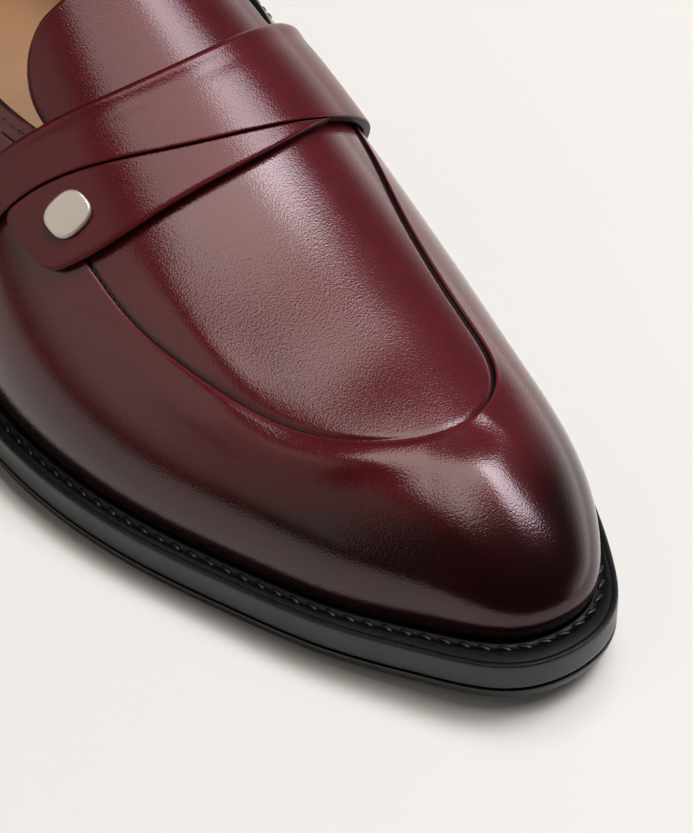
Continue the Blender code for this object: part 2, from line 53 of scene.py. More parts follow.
# ---- driving sizes, millimetres ----
LENGTH = 300.0
OUTSOLE = 2.8
MIDSOLE = 3.9
WELT_THICKNESS = 2.7
SEAT = 0.3  # between two layers that lie on each other
HEEL_RISE = 21.3
TOP_LIFT = 6.0
HEEL_TAPER = 1.2  # how far the heel's foot is inset
HEEL_BREAST = 72.0
ARCH_FRONT = 186.0
TOE_LIFTS_AT = 222.0
TOE_SPRING = 5.0
WALL = 2.4  # of the upper, with its lining
APRON_STEP = 0.7
STRAP_GAP = 0.5
STRAP_THICKNESS = 1.9
TONGUE_THICKNESS = 1.9
SLIT = 0.4  # between the strap's band and its tab
SOLE = OUTSOLE + SEAT + MIDSOLE + SEAT + WELT_THICKNESS

OUTLINE = (  # x, along: the welt's outer edge in plan
    (0.0, 0.0), (-22.5, 10.5), (-33.0, 36.0), (-35.5, 75.0), (-40.5, 110.0), (-51.0, 142.0),
    (-58.8, 170.0), (-59.0, 195.0), (-53.2, 221.0), (-44.3, 244.0), (-35.5, 264.0), (-24.5, 282.2),
    (-11.5, 297.3), (0.0, 300.0), (11.3, 296.4), (20.4, 284.5), (28.3, 267.0), (34.8, 244.0),
    (39.6, 215.0), (41.4, 185.0), (38.0, 152.0), (33.0, 118.0), (32.5, 80.0), (32.5, 38.0), (22.5, 10.5),
)
WELT = (  # along, width on the lateral side, width on the medial side
    (0, 3.5, 3.5), (60, 3.8, 3.6), (110, 4.0, 3.8), (150, 4.4, 4.2), (190, 4.9, 4.6),
    (240, 5.2, 4.6), (270, 5.8, 4.4), (288, 7.2, 4.2), (300, 8.8, 5.0),
)
CROWN = (  # along, height of the last's ridge, x of the ridge
    (0, 134.0, 0.0), (60, 124.0, 0.0), (100, 98.0, 1.0), (125, 84.0, 2.0), (150, 71.8, 3.0),
    (170, 63.5, 3.5), (188, 56.5, 3.5), (210, 49.6, 3.0), (230, 44.8, 2.3), (252, 40.2, 1.5),
    (275, 35.7, 1.0), (300, 30.5, 0.5),
)
SECTION = (  # along, radius at the ridge, wall handle lateral, medial, bulge lateral, medial
    (0, 9.0, 0.45, 0.45, 8.0, 8.0),
    (60, 9.0, 0.45, 0.45, 7.0, 7.0),
    (110, 20.0, 0.48, 0.58, 6.0, 6.5),
    (150, 40.0, 0.50, 0.68, 4.0, 7.0),
    (186, 62.0, 0.53, 0.74, 1.0, 2.6),
    (220, 70.0, 0.55, 0.67, 0.0, 1.2),
    (252, 68.0, 0.56, 0.56, -0.5, 3.2),
    (280, 68.0, 0.55, 0.62, -2.0, 10.5),
    (300, 64.0, 0.52, 0.63, -2.0, 11.5),
)
TOE_POLE = 240.0
HEEL_POLE = 34.0
POLE_SOFTNESS = 8.0
RIDGE_RADII = (9.0, 250.0)

COLLAR = (  # along, height of the top edge of the quarters
    (0, 89.0), (25, 86.5), (50, 80.5), (75, 73.0), (100, 66.5), (125, 61.5), (145, 58.6), (158, 57.5),
)
THROAT_SIDES = 158.0
THROAT_FRONT = 174.5
APRON = (  # x, along: the apron's seam in plan, from the lateral leg round to the medial leg
    (-33.0, 150.0), (-35.8, 188.0), (-32.7, 212.0), (-25.0, 235.0), (-12.5, 250.6), (1.5, 256.5),
    (12.8, 253.6), (19.0, 244.8), (21.0, 230.0), (25.2, 205.7), (31.3, 182.0), (33.0, 150.0),
)
APRON_CENTRE = (-3.0, 205.0)
SEAM_STARTS = 150.0  # along; behind it the seam's legs run level under the strap
LEG_MARGIN = 5.0  # the legs keep this far from the top edge

STRAP = (  # share of girth (lateral -), along of rear edge, of the slit, of the front edge
    (-1.00, 137.0, 155.0, 155.0),
    (-0.70, 147.0, 160.0, 172.0),
    (-0.50, 153.0, 163.9, 182.4),
    (-0.34, 157.8, 170.3, 185.7),
    (-0.18, 162.0, 177.3, 187.3),
    (0.00, 163.8, 182.2, 187.8),
    (0.16, 162.8, 184.1, 186.6),
    (0.30, 160.6, 184.6, 184.6),
    (0.45, 157.0, 182.6, 182.6),
    (0.70, 149.0, 175.0, 175.0),
    (1.00, 139.0, 165.0, 165.0),
)
TAB_END = -0.585
TAB_TIP = 0.27
TAB_CORNER = 3.0
BAND_FOOT = 0.985
BADGE_AT = (174.0, -0.455)
BADGE_SIZE = (8.6, 9.8, 1.2)

TONGUE_BACK = 140.0
TONGUE_CORNER = 14.0
TONGUE_GAP = 0.5

# ---- fineness of the meshes ----
OUTLINE_SAMPLES = 1440
SIDE_COLUMNS = 200
WALL_ROWS = 44
APRON_ROWS = 34
LINING_ROWS = 16
SOLE_SAMPLES = 480
TIP_CROWDING = 0.45
GIRTH_SAMPLES = 97


# ---- the last: curves and surface ----
def smooth_step(low, high, value):
    """0 below low and 1 above high, with a smooth rise between them."""
    t = np.clip((np.asarray(value, float) - low) / (high - low), 0.0, 1.0)
    return t * t * (3 - 2 * t)


def unit(vector):
    return vector / np.linalg.norm(vector)


@functools.cache
def spline_bends(rows, column):
    """Places, values and second derivatives of the natural cubic spline through a column."""
    places = np.array([row[0] for row in rows], float)
    values = np.array([row[column] for row in rows], float)
    count = len(places)
    step = np.diff(places)
    slope = np.diff(values) / step
    matrix = np.eye(count)
    right = np.zeros(count)
    for i in range(1, count - 1):
        matrix[i, i - 1:i + 2] = step[i - 1], 2 * (step[i - 1] + step[i]), step[i]
        right[i] = 6 * (slope[i] - slope[i - 1])
    return places, values, np.linalg.solve(matrix, right), step, slope


def spline(rows, at, column=1):
    """Natural cubic spline through one column of a table whose first column is the place."""
    places, values, bend, step, slope = spline_bends(rows, column)
    at = np.clip(np.asarray(at, float), places[0], places[-1])
    k = np.clip(np.searchsorted(places, at) - 1, 0, len(places) - 2)
    t = at - places[k]
    h = step[k]
    first = slope[k] - h * (2 * bend[k] + bend[k + 1]) / 6
    return values[k] + t * (first + t * (bend[k] / 2 + t * (bend[k + 1] - bend[k]) / (6 * h)))


def quarter_turn(count):
    return np.radians(np.linspace(0, 90, count))


def run_along(line):
    """Distance travelled from the start of a line to each of its points."""
    return np.concatenate([[0.0], np.cumsum(np.linalg.norm(np.diff(line, axis=0), axis=1))])


def evenly(line, count, closed=False):
    """A line resampled at even distances; a closed one ends just short of its start."""
    run = run_along(line)
    at = np.linspace(0.0, run[-1], count, endpoint=not closed)
    return np.stack([np.interp(at, run, column) for column in line.T], 1)


def closed_curve(points, samples):
    """Smooth closed curve through plan points, as evenly spaced samples."""
    lap, finer = 4, 6  # points that the spline runs past its ends, and its fineness
    loop = [points[i % len(points)] for i in range(-lap, len(points) + lap + 1)]
    chord = run_along(loop)
    table = tuple((c, p[0], p[1]) for c, p in zip(chord, loop))
    at = np.linspace(chord[lap], chord[lap + len(points)], samples * finer)
    return evenly(np.stack([spline(table, at, 1), spline(table, at, 2)], 1), samples, closed=True)


def travel(curve, reach):
    """Unit direction of a closed curve at each of its samples."""
    ahead = np.roll(curve, -reach, 0) - np.roll(curve, reach, 0)
    return ahead / np.linalg.norm(ahead, axis=1)[:, None]


def inset(curve, distance):
    """The closed curve moved inward by a distance, which may vary along it."""
    ahead = travel(curve, 1)
    return curve + np.stack([ahead[:, 1], -ahead[:, 0]], 1) * np.reshape(distance, (-1, 1))


def soft_least(a, limit):
    """The lesser of a and the limit, turning smoothly from one to the other."""
    return limit - POLE_SOFTNESS * np.logaddexp(0.0, (limit - a) / POLE_SOFTNESS)


def ridge_station(along):
    """Where on the ridge a section ends that starts at this station of the welt."""
    return -soft_least(-soft_least(along, TOE_POLE), -HEEL_POLE)


def medial_share(x, along):
    """0 on the lateral side and 1 on the medial side, turning smoothly round toe and heel."""
    ridge = ridge_station(along)
    across = x - spline(CROWN, ridge, 2)
    return smooth_step(0.0, 1.0, 0.5 + 0.5 * across / np.hypot(across, along - ridge))


def between(share, lateral, medial):
    return lateral * (1 - share) + medial * share


def sole_bottom(along):
    """Height of the outsole's underside: flat heel seat, arch, flat tread and toe spring."""
    along = np.asarray(along, float)
    toe = np.clip((along - TOE_LIFTS_AT) / (LENGTH - TOE_LIFTS_AT), 0, None)
    arch = np.clip((ARCH_FRONT - along) / (ARCH_FRONT - HEEL_BREAST), 0, 1)
    return TOE_SPRING * toe ** 2 + HEEL_RISE * arch ** 3 * (10 + arch * (6 * arch - 15))


def sole_top(along):
    return sole_bottom(along) + SOLE


EDGE = closed_curve(OUTLINE, OUTLINE_SAMPLES)
EDGE_MEDIAL = medial_share(EDGE[:, 0], EDGE[:, 1])
WELT_WIDTH = between(EDGE_MEDIAL, spline(WELT, EDGE[:, 1], 1), spline(WELT, EDGE[:, 1], 2))
FEATHER = inset(EDGE, WELT_WIDTH)
FEATHER_TRAVEL = travel(FEATHER, 2)
CENTRE_X = (EDGE[:, 0].min() + EDGE[:, 0].max()) / 2


def heel_to_toe(line):
    """Lateral and medial halves of a closed line, each from heel to toe."""
    turned = np.roll(line, -line[:, 1].argmin(), 0)
    tip = turned[:, 1].argmax()
    return {-1: turned[:tip + 1], 1: np.vstack([turned[tip:], turned[:1]])[::-1]}


FEATHER_SIDES = heel_to_toe(FEATHER)


def feather_x(along, side):
    """x of the feather line at a station of one side."""
    line = FEATHER_SIDES[side]
    return np.interp(along, line[:, 1], line[:, 0])


def crowded(count, laps=1):
    """count + 1 shares from 0 to 1, closer together at the ends of each lap."""
    even = np.linspace(0.0, 1.0, count + 1)
    turn = 2 * math.pi * laps
    return even - TIP_CROWDING * np.sin(turn * even) / turn


def skin(x, along, v):
    """Outer surface of the last: v is 0 at the feather point (x, along) and 1 on the ridge."""
    ridge = ridge_station(along)
    ridge_x = spline(CROWN, ridge, 2)
    across, back = x - ridge_x, along - ridge
    reach = np.hypot(across, back)
    medial = medial_share(x, along)
    floor = sole_top(along) + SEAT
    wall = between(medial, spline(SECTION, ridge, 2), spline(SECTION, ridge, 3))
    bulge = between(medial, spline(SECTION, along, 4), spline(SECTION, along, 5)) / reach
    rise = spline(CROWN, ridge) - floor
    lengthwise = np.interp(ridge, (HEEL_POLE, TOE_POLE), RIDGE_RADII)
    curvature = ((across / reach) ** 2 / spline(SECTION, ridge, 1) + (back / reach) ** 2 / lengthwise)
    shoulder = np.sqrt(2 / 3 * rise * (1 - wall) / curvature) / reach
    u = 1 - v
    out = u ** 3 + 3 * u * u * v * (1 + bulge) + 3 * u * v * v * shoulder
    up = 3 * u * u * v * wall + 3 * u * v * v + v ** 3
    place = ridge + back * out
    return np.stack([ridge_x + across * out, place, floor + (spline(CROWN, place) - floor) * up], -1)


def feather_travel(x, along):
    """Plan direction of the feather line where it passes each point."""
    gap = np.hypot(FEATHER[:, 0] - x.reshape(-1, 1), FEATHER[:, 1] - along.reshape(-1, 1))
    return FEATHER_TRAVEL[gap.argmin(1)].reshape(*x.shape, 2)


def skin_normal(x, along, v, toward):
    """Unit outward normal; toward is the plan direction of the feather line at the point."""
    nudge, small = 0.2, 0.004
    ahead = skin(x + nudge * toward[..., 0], along + nudge * toward[..., 1], v)
    behind = skin(x - nudge * toward[..., 0], along - nudge * toward[..., 1], v)
    low, high = np.clip(v - small, 0, 1), np.clip(v + small, 0, 1)
    normal = np.cross(skin(x, along, high) - skin(x, along, low), ahead - behind)
    place = ridge_station(along)
    slope = (spline(CROWN, place + 1.0) - spline(CROWN, place - 1.0)) / 2.0
    upright = np.stack([0 * slope, -slope, 1 + 0 * slope], -1)
    normal = np.where((v > 1 - small)[..., None], upright, normal)
    return normal / np.linalg.norm(normal, axis=-1, keepdims=True)


def lifted(x, along, v, lift):
    """Points at a height above the last's surface."""
    x, along, v, lift = (np.array(a, float) for a in np.broadcast_arrays(x, along, v, lift))
    toward = feather_travel(x, along)
    return skin(x, along, v) + skin_normal(x, along, v, toward) * lift[..., None]


def girth(x, along):
    """Samples of v up a section, with the distance over the skin from the ridge to each."""
    v = np.linspace(0.0, 1.0, GIRTH_SAMPLES)
    points = skin(np.full_like(v, x), np.full_like(v, along), v)
    run = np.linalg.norm(np.diff(points, axis=0), axis=1)
    from_ridge = np.concatenate([np.cumsum(run[::-1])[::-1], [0.0]])
    return v, points, from_ridge


GIRTH_STATIONS = np.arange(120.0, 262.0)  # 1 mm apart
GIRTH_SHARES = np.linspace(0.0, 1.0, 81)


@functools.cache
def girth_shares(side):
    """v by station and by share of the girth from the ridge, and the girth, for one side."""
    rows, lengths = [], []
    for along in GIRTH_STATIONS:
        v, _, from_ridge = girth(feather_x(along, side), along)
        rows.append(np.interp(GIRTH_SHARES * from_ridge[0], from_ridge[::-1], v[::-1]))
        lengths.append(from_ridge[0])
    return np.array(rows), np.array(lengths)


def over_instep(along, share, lift):
    """Points over the instep at stations and shares of the girth, lateral shares below 0."""
    along, share, lift = (np.array(a, float) for a in np.broadcast_arrays(along, share, lift))
    last_row, last_column = len(GIRTH_STATIONS) - 1, len(GIRTH_SHARES) - 1
    inside = 0.001  # keeps the last place inside the table
    points = np.empty((*along.shape, 3))
    for side in SIDES:
        pick = share < 0 if side < 0 else share >= 0
        table = girth_shares(side)[0]
        row = np.clip(along[pick] - GIRTH_STATIONS[0], 0, last_row - inside)
        column = np.clip(np.abs(share[pick]) * last_column, 0, last_column - inside)
        r, c = row.astype(int), column.astype(int)
        fr, fc = row - r, column - c
        v = ((table[r, c] * (1 - fc) + table[r, c + 1] * fc) * (1 - fr)
             + (table[r + 1, c] * (1 - fc) + table[r + 1, c + 1] * fc) * fr)
        points[pick] = lifted(feather_x(along[pick], side), along[pick], v, lift[pick])
    return points


def girth_length(along, side):
    return float(np.interp(along, GIRTH_STATIONS, girth_shares(side)[1]))


def to_top_edge(points, from_ridge):
    """Distance over the skin from the ridge to where a section crosses the collar's line."""
    return float(np.interp(0.0, points[:, 2] - spline(COLLAR, points[:, 1]), from_ridge))


# Distance from the ridge to the top edge where the edge turns across the foot, by side.
THROAT_HALF = {side: to_top_edge(*girth(feather_x(THROAT_SIDES, side), THROAT_SIDES)[1:])
               for side in SIDES}


def polar_apron(samples=800):
    """The apron's seam about its centre: angles, and the radius at each."""
    table = tuple((i, x, along) for i, (x, along) in enumerate(APRON))
    at = np.linspace(0, len(APRON) - 1, samples)
    x, along = (spline(table, at, column + 1) - APRON_CENTRE[column] for column in (0, 1))
    return np.unwrap(np.arctan2(x, along)), np.hypot(x, along)


APRON_RADIUS = polar_apron()


def column_marks(x, along, side):
    """Girth samples of a column, and distances from the ridge to its top edge and its seam."""
    v, points, from_ridge = girth(x, along)
    if along >= THROAT_FRONT:
        top = 0.0
    elif along <= THROAT_SIDES:
        top = to_top_edge(points, from_ridge)
    else:
        turn = (along - THROAT_SIDES) / (THROAT_FRONT - THROAT_SIDES)
        top = THROAT_HALF[side] * math.sqrt(1 - turn * turn)
    across, ahead = (points[:, :2] - APRON_CENTRE).T
    outside = np.hypot(across, ahead) - np.interp(np.arctan2(across, ahead), *APRON_RADIUS)
    seam = top + LEG_MARGIN
    if along >= SEAM_STARTS and outside[-1] <= 0:
        seam = max(seam, float(np.interp(0.0, -outside, from_ridge)))
    return v, from_ridge, top, seam


# ---- finishes ----
FACTOR, COLOUR_A, COLOUR_B, MIXED = 0, 6, 7, 2  # a colour mix's inputs, and its output
NOISE_SPAN = (0.3, 0.7)  # where most values of a noise lie


def srgb(code):
    """Linear colour from an sRGB hex value."""
    parts = [int(code[i:i + 2], 16) / 255 for i in (1, 3, 5)]
    return (*[p / 12.92 if p <= 0.04045 else ((p + 0.055) / 1.055) ** 2.4 for p in parts], 1.0)


def set_sockets(tree, node, sockets):
    """Sets sockets to values or joins them to others; a node stands for its first output."""
    for name, value in sockets.items():
        if isinstance(value, bpy.types.Node):
            value = value.outputs[0]
        if isinstance(value, bpy.types.NodeSocket):
            tree.links.new(value, node.inputs[name])
        else:
            node.inputs[name].default_value = value


def add(tree, kind, sockets=None, **settings):
    """A node with its own properties and its sockets set."""
    made = tree.nodes.new("ShaderNode" + kind)
    for name, value in settings.items():
        setattr(made, name, value)
    set_sockets(tree, made, sockets or {})
    return made


def new_finish(name, base, **sockets):
    """Principled material with plain values on the shader's own sockets, and its coordinates."""
    made = bpy.data.materials.new(name)
    made.use_nodes = True
    tree = made.node_tree
    shader = tree.nodes["Principled BSDF"]
    set_sockets(tree, shader, {"Base Color": srgb(base)})
    set_sockets(tree, shader, {key.replace("_", " "): value for key, value in sockets.items()})
    return made, tree, shader, add(tree, "TexCoord").outputs["Object"]


def pattern(place, feature_mm, detail):
    """Sockets of a noise with features of a size in millimetres."""
    return {"Vector": place, "Scale": 1000.0 / feature_mm, "Detail": detail}


def pores_of(place, feature_mm, smoothness):
    """Sockets of a cell pattern with pores of a size in millimetres."""
    return {"Vector": place, "Scale": 1000.0 / feature_mm, "Smoothness": smoothness}


def give_relief(tree, shader, height, depth_mm):
    """Relief of a depth in millimetres from a height of 0 to 1; its node is returned."""
    bump = add(tree, "Bump", {"Height": height, "Distance": depth_mm * MM, "Strength": 1.0})
    set_sockets(tree, shader, {"Normal": bump})
    return bump


def ramp(source, span, first, last):
    """Sockets that turn a source's span of values into a run from first to last."""
    return {"Value": source, "From Min": span[0], "From Max": span[1], "To Min": first, "To Max": last}


def vary_roughness(tree, shader, source, first, last, span=NOISE_SPAN):
    set_sockets(tree, shader, {"Roughness": add(tree, "MapRange", ramp(source, span, first, last))})


def box_calf(name, red="#450910", lively="#520D14", dark="#160505", wax=0.85):
    """Box calf: aniline-dyed, waxed and brushed, with a dark burnish by the welt.

    The dye is deep and a little uneven.  The wax lies in a soft gloss over the grain, and in a
    harder, clearer one where the leather was burnished.  Fine pores break up the lights; they
    are drawn coarser than real ones, which are too fine to show.
    """
    made, tree, shader, place = new_finish(
        name, red, IOR=1.5, Specular_IOR_Level=0.32, Specular_Tint=(0.95, 0.30, 0.32, 1.0),
        Coat_Weight=wax, Coat_Roughness=0.12, Coat_IOR=1.5)
    cloud = add(tree, "TexNoise", pattern(place, 24.0, 3.0))
    mottle = add(tree, "TexNoise", pattern(place, 4.0, 5.0))
    burnish = add(tree, "Attribute", attribute_name="burnish").outputs["Fac"]
    wander = add(tree, "MapRange", ramp(cloud, NOISE_SPAN, -0.12, 0.12))
    shade = add(tree, "Math", {0: burnish, 1: wander}, operation="ADD", use_clamp=True)
    dye = add(tree, "Mix", {FACTOR: mottle, COLOUR_A: srgb(red), COLOUR_B: srgb(lively)}, data_type="RGBA")
    burnt = add(tree, "Mix", {FACTOR: shade, COLOUR_A: dye.outputs[MIXED], COLOUR_B: srgb(dark)},
                data_type="RGBA")
    pores = add(tree, "TexVoronoi", pores_of(place, 0.44, 0.6), feature="SMOOTH_F1")
    grain = add(tree, "TexNoise", pattern(place, 0.38, 2.0))
    height = add(tree, "Math", {0: pores, 1: 0.5, 2: grain}, operation="MULTIPLY_ADD")
    vary_roughness(tree, shader, burnish, 0.42, 0.26, span=(0.1, 0.8))
    relief = give_relief(tree, shader, height, 0.026)
    set_sockets(tree, shader, {"Base Color": burnt.outputs[MIXED], "Coat Normal": relief})
    return made


def even_grain(name, base, grain_mm, depth_mm, detail=3.0, **sockets):
    """Finish of one colour, with an even relief of one grain."""
    made, tree, shader, place = new_finish(name, base, **sockets)
    give_relief(tree, shader, add(tree, "TexNoise", pattern(place, grain_mm, detail)), depth_mm)
    return made


def waxed_welt():
    """Oak-bark welt leather, inked black and waxed: a dull top with fine tool marks."""
    made, tree, shader, place = new_finish(
        "black_waxed_welt", "#060607", Roughness=0.42, IOR=1.5, Specular_IOR_Level=0.3)
    fibre = add(tree, "TexNoise", pattern(place, 0.8, 5.0))
    marks = add(tree, "TexNoise", pattern(place, 4.0, 2.0))
    height = add(tree, "Math", {0: fibre, 1: 0.4, 2: marks}, operation="MULTIPLY_ADD")
    vary_roughness(tree, shader, fibre, 0.34, 0.55)
    give_relief(tree, shader, height, 0.06)
    return made


def edge_dressing(name, colour, smooth, rough):
    """Sole edge: stacked leather trimmed, inked and burnished with a hot iron, so it is satin
    and carries fine lines along the edge."""
    made, tree, shader, place = new_finish(name, colour, Roughness=smooth, IOR=1.5)
    drawn_out = add(tree, "Mapping", {"Vector": place, "Scale": (0.06, 0.06, 1.0)})
    vary_roughness(tree, shader, add(tree, "TexNoise", pattern(place, 9.0, 3.0)), smooth, rough)
    give_relief(tree, shader, add(tree, "TexNoise", pattern(drawn_out, 0.5, 4.0)), 0.035)
    return made


def lining_leather(name, colour, shade):
    """Vegetable-tanned lining leather: unpolished, a little uneven, with open fine grain."""
    made, tree, shader, place = new_finish(name, colour, Roughness=0.55, IOR=1.5)
    cloud = add(tree, "TexNoise", pattern(place, 14.0, 5.0))
    tan = add(tree, "Mix", {FACTOR: cloud, COLOUR_A: srgb(colour), COLOUR_B: srgb(shade)}, data_type="RGBA")
    set_sockets(tree, shader, {"Base Color": tan.outputs[MIXED]})
    give_relief(tree, shader, add(tree, "TexVoronoi", pores_of(place, 0.7, 0.7), feature="SMOOTH_F1"), 0.04)
    return made


def brushed_steel():
    """Stainless steel, linished one way: fine straight scratches."""
    made, tree, shader, place = new_finish(
        "brushed_stainless_steel", "#D9D3C8", Metallic=1.0, Roughness=0.42)
    one_way = add(tree, "Mapping", {"Vector": place, "Scale": (1.0, 0.03, 1.0)})
    scratch = add(tree, "TexNoise", pattern(one_way, 0.12, 3.0))
    vary_roughness(tree, shader, scratch, 0.36, 0.50)
    give_relief(tree, shader, scratch, 0.003)
    return made


UPPER_CALF = box_calf("burgundy_box_calf")
STRAP_CALF = box_calf("burgundy_strap_calf", wax=0.52)
TONGUE_CALF = box_calf("burgundy_tongue_calf", wax=0.52)
# A lighter red copy of the calf for the rim of the seam's edge: a painted highlight along the edge.
RIM_HIGHLIGHT_CALF = box_calf("burgundy_rim_painted_highlight", "#581219", "#641A22", "#2A090C")
WELT_LEATHER = waxed_welt()
SOLE_EDGE = edge_dressing("black_edge_dressing", "#161617", 0.24, 0.40)
OUTSOLE_EDGE = edge_dressing("black_outsole_dressing", "#080808", 0.26, 0.40)
LINING = lining_leather("tan_lining_leather", "#B4875A", "#9C6F45")
SOCK = lining_leather("tan_sock_leather", "#A97C50", "#8F6540")
STEEL = brushed_steel()
# Acrylic edge paint on cut leather: black, thick enough to round the edge, nearly matt. In the apron's seam
# the same black also fills the groove, as painted shade.
EDGE_PAINT_AND_SHADE = even_grain("black_edge_paint_and_painted_shade", "#0A0808", 1.4, 0.03,
                        Roughness=0.46, IOR=1.49, Specular_IOR_Level=0.22)
# Waxed linen thread, laid from plies about 0.3 mm apart.
WELT_THREAD = even_grain("black_waxed_thread", "#0C0C0D", 0.35, 0.04, 2.0, Roughness=0.38, IOR=1.5)
CALF_THREAD = even_grain("burgundy_waxed_thread", "#2A0608", 0.35, 0.04, 2.0, Roughness=0.38, IOR=1.5)
# Moulded rubber top lift: matt, with a fine pebble from its mould.
LIFT_RUBBER = even_grain("black_heel_rubber", "#121212", 0.6, 0.05, Roughness=0.62, IOR=1.52)
# Matt paper backdrop, rolled out flat.
PAPER = even_grain("pale_backdrop_paper", "#F2EFEA", 1.5, 0.01, Roughness=0.85, IOR=1.4)


# ---- building pieces ----
WELD = 0.002  # points closer than this are one


def to_world(points):
    """Shoemaker's millimetres to metres in the frame of the solids."""
    points = np.asarray(points, float)
    return np.stack([points[..., 0] - CENTRE_X, LENGTH / 2 - points[..., 1], points[..., 2]], -1) * MM


def make_piece(name, points, faces, finishes, node=None, face_finish=None, burnish=None, sharp=None):
    """Object from shoemaker's points and faces, riding on the shoe in place of a node.

    Points that coincide are welded and every face is turned outward.  burnish is the share of
    the dark burnish at each point, and sharp the angle above which an edge shows as one.
    """
    mesh = bpy.data.meshes.new(name)
    mesh.from_pydata(to_world(points).reshape(-1, 3).tolist(), [], faces)
    for finish in finishes:
        mesh.materials.append(finish)
    if face_finish is not None:
        mesh.polygons.foreach_set("material_index", face_finish)
    if burnish is not None:
        layer = mesh.attributes.new("burnish", "FLOAT", "POINT")
        layer.data.foreach_set("value", np.asarray(burnish, float).reshape(-1))
    shape = bmesh.new()
    shape.from_mesh(mesh)
    bmesh.ops.remove_doubles(shape, verts=shape.verts, dist=WELD * MM)
    bmesh.ops.recalc_face_normals(shape, faces=shape.faces)
    shape.to_mesh(mesh)
    shape.free()
    mesh.shade_smooth()
    if sharp is not None:
        mesh.set_sharp_from_angle(angle=math.radians(sharp))
    piece = bpy.data.objects.new(name, mesh)
    bpy.context.scene.collection.objects.link(piece)
    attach(piece, "root")
    if node:
        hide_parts(node)


def ring_faces(rings, size, first=0, capped=False):
    """Quads that join closed rings of points, stored one ring after another."""
    faces = []
    for r in range(rings - 1):
        here = first + r * size
        for i in range(size):
            j = (i + 1) % size
            faces.append((here + i, here + size + i, here + size + j, here + j))
    if capped:
        last = first + (rings - 1) * size
        faces += [tuple(range(first, first + size)), tuple(reversed(range(last, last + size)))]
    return faces


def sole_cap(ring, first, up):
    """Triangles across a closed outline, joining its lateral side to its medial side."""
    heel, toe = ring[:, 1].argmin(), ring[:, 1].argmax()
    size = len(ring)
    one = [(heel + i) % size for i in range((toe - heel) % size + 1)]
    other = [(heel - i) % size for i in range((heel - toe) % size + 1)]
    faces = []
    a = b = 0
    while a < len(one) - 1 or b < len(other) - 1:
        step_one = b == len(other) - 1 or (
            a < len(one) - 1 and ring[one[a + 1], 1] <= ring[other[b + 1], 1])
        if step_one:
            face = (first + one[a], first + one[a + 1], first + other[b])
            a += 1
        else:
            face = (first + one[a], first + other[b + 1], first + other[b])
            b += 1
        if len(set(face)) == 3:
            faces.append(face[::-1] if up else face)
    return faces


BURNISH = (  # along, height above the welt where the burnish is full, and where it ends
    (225, 9.0, 20.5), (248, 12.0, 26.0), (262, 14.0, 28.0), (272, 17.0, 28.0), (300, 18.0, 29.0),
)


def burnish_of(points):
    """Share of the dark burnish: full just above the welt, and higher up round the toe."""
    above_welt = points[..., 2] - sole_top(points[..., 1])
    along, *heights = np.transpose(BURNISH)
    full, none = (np.interp(points[..., 1], along, height) for height in heights)
    return 1.0 - smooth_step(full, none, above_welt)


# ---- upper ----
CALF_FACE, PAINT_AND_SHADE_FACE, LINING_FACE, RIM_HIGHLIGHT_FACE = range(4)
# In the seam, the black on the step's cut face is edge paint and in the groove at its foot painted shade;
# the rim faces above take a lighter red, a painted highlight.
SEAM_PROFILE = (  # distance outside the seam, height of the sharp step, of the soft one in front, finish
    (1.00, 0.00, -0.61, CALF_FACE), (0.60, 0.03, -0.60, RIM_HIGHLIGHT_FACE), (0.36, 0.04, -0.60, RIM_HIGHLIGHT_FACE),
    (0.18, -0.01, -0.62, RIM_HIGHLIGHT_FACE), (0.06, -0.10, -0.66, RIM_HIGHLIGHT_FACE), (0.00, -0.24, -0.70, PAINT_AND_SHADE_FACE),
    (0.00, -0.60, -0.73, PAINT_AND_SHADE_FACE), (-0.05, -0.84, -0.75, PAINT_AND_SHADE_FACE), (-0.20, -0.96, -0.76, PAINT_AND_SHADE_FACE),
    (-0.45, -0.96, -0.75, CALF_FACE), (-0.80, -0.84, -0.73, CALF_FACE), (-1.20, -0.71, -0.71, CALF_FACE),
)
STEP_GROWS = (149.0, 160.0)  # stations over which the step grows from nothing, under the strap
SEAM_PAINT_AND_SHADE_ENDS = {-1: 256.0, 1: 284.0}  # stations where the black paint and painted shade stop
SEAM_SINKS = {-1: (252.0, 284.0), 1: (279.0, 292.0)}  # stations over which the step turns soft
SINK_DEPTH = 0.62
SINK_REACH = 8.0
PUFF = {  # by side: along, crest outside the seam, reach, height
    -1: ((190, 5.0, 4.2, 0.0), (212, 5.0, 4.2, 0.70), (226, 5.0, 4.2, 1.05), (238, 5.8, 4.5, 0.92),
         (250, 5.2, 4.4, 0.88), (262, 4.0, 4.0, 0.80), (281, 3.6, 5.0, 0.50), (289, 6.0, 6.0, 0.45),
         (293, 9.5, 7.0, 0.42), (300, 9.5, 7.0, 0.42)),
    1: ((190, 5.0, 4.0, 0.0), (262, 5.5, 4.2, 0.0), (281, 8.0, 6.0, 0.38), (293, 9.5, 7.0, 0.42),
        (300, 9.5, 7.0, 0.42)),
}
PUFF_SETS_IN = (0.0, 1.0)  # distances outside the seam over which the swell sets in
SOFT_RIDGES = (  # x, along, reach across, reach along, turn in degrees, height
    (-28.0, 214.0, 5.0, 18.0, 2.0, 0.75),
    (-9.0, 237.0, 15.0, 11.0, 0.0, -0.40),
    (0.5, 270.0, 8.6, 19.0, 0.0, 0.95),
)
ROLLED_EDGE = (  # distance below the top edge, depth below the outer surface
    (0.60, 0.02), (0.28, 0.12), (0.08, 0.34), (0.00, 0.70), (0.00, 1.70), (0.08, 2.06), (0.28, 2.28),
)
THROAT_COLUMNS = 15  # round the front of the throat on each side
THROAT_CLEAR = 0.8  # other columns keep this far from those


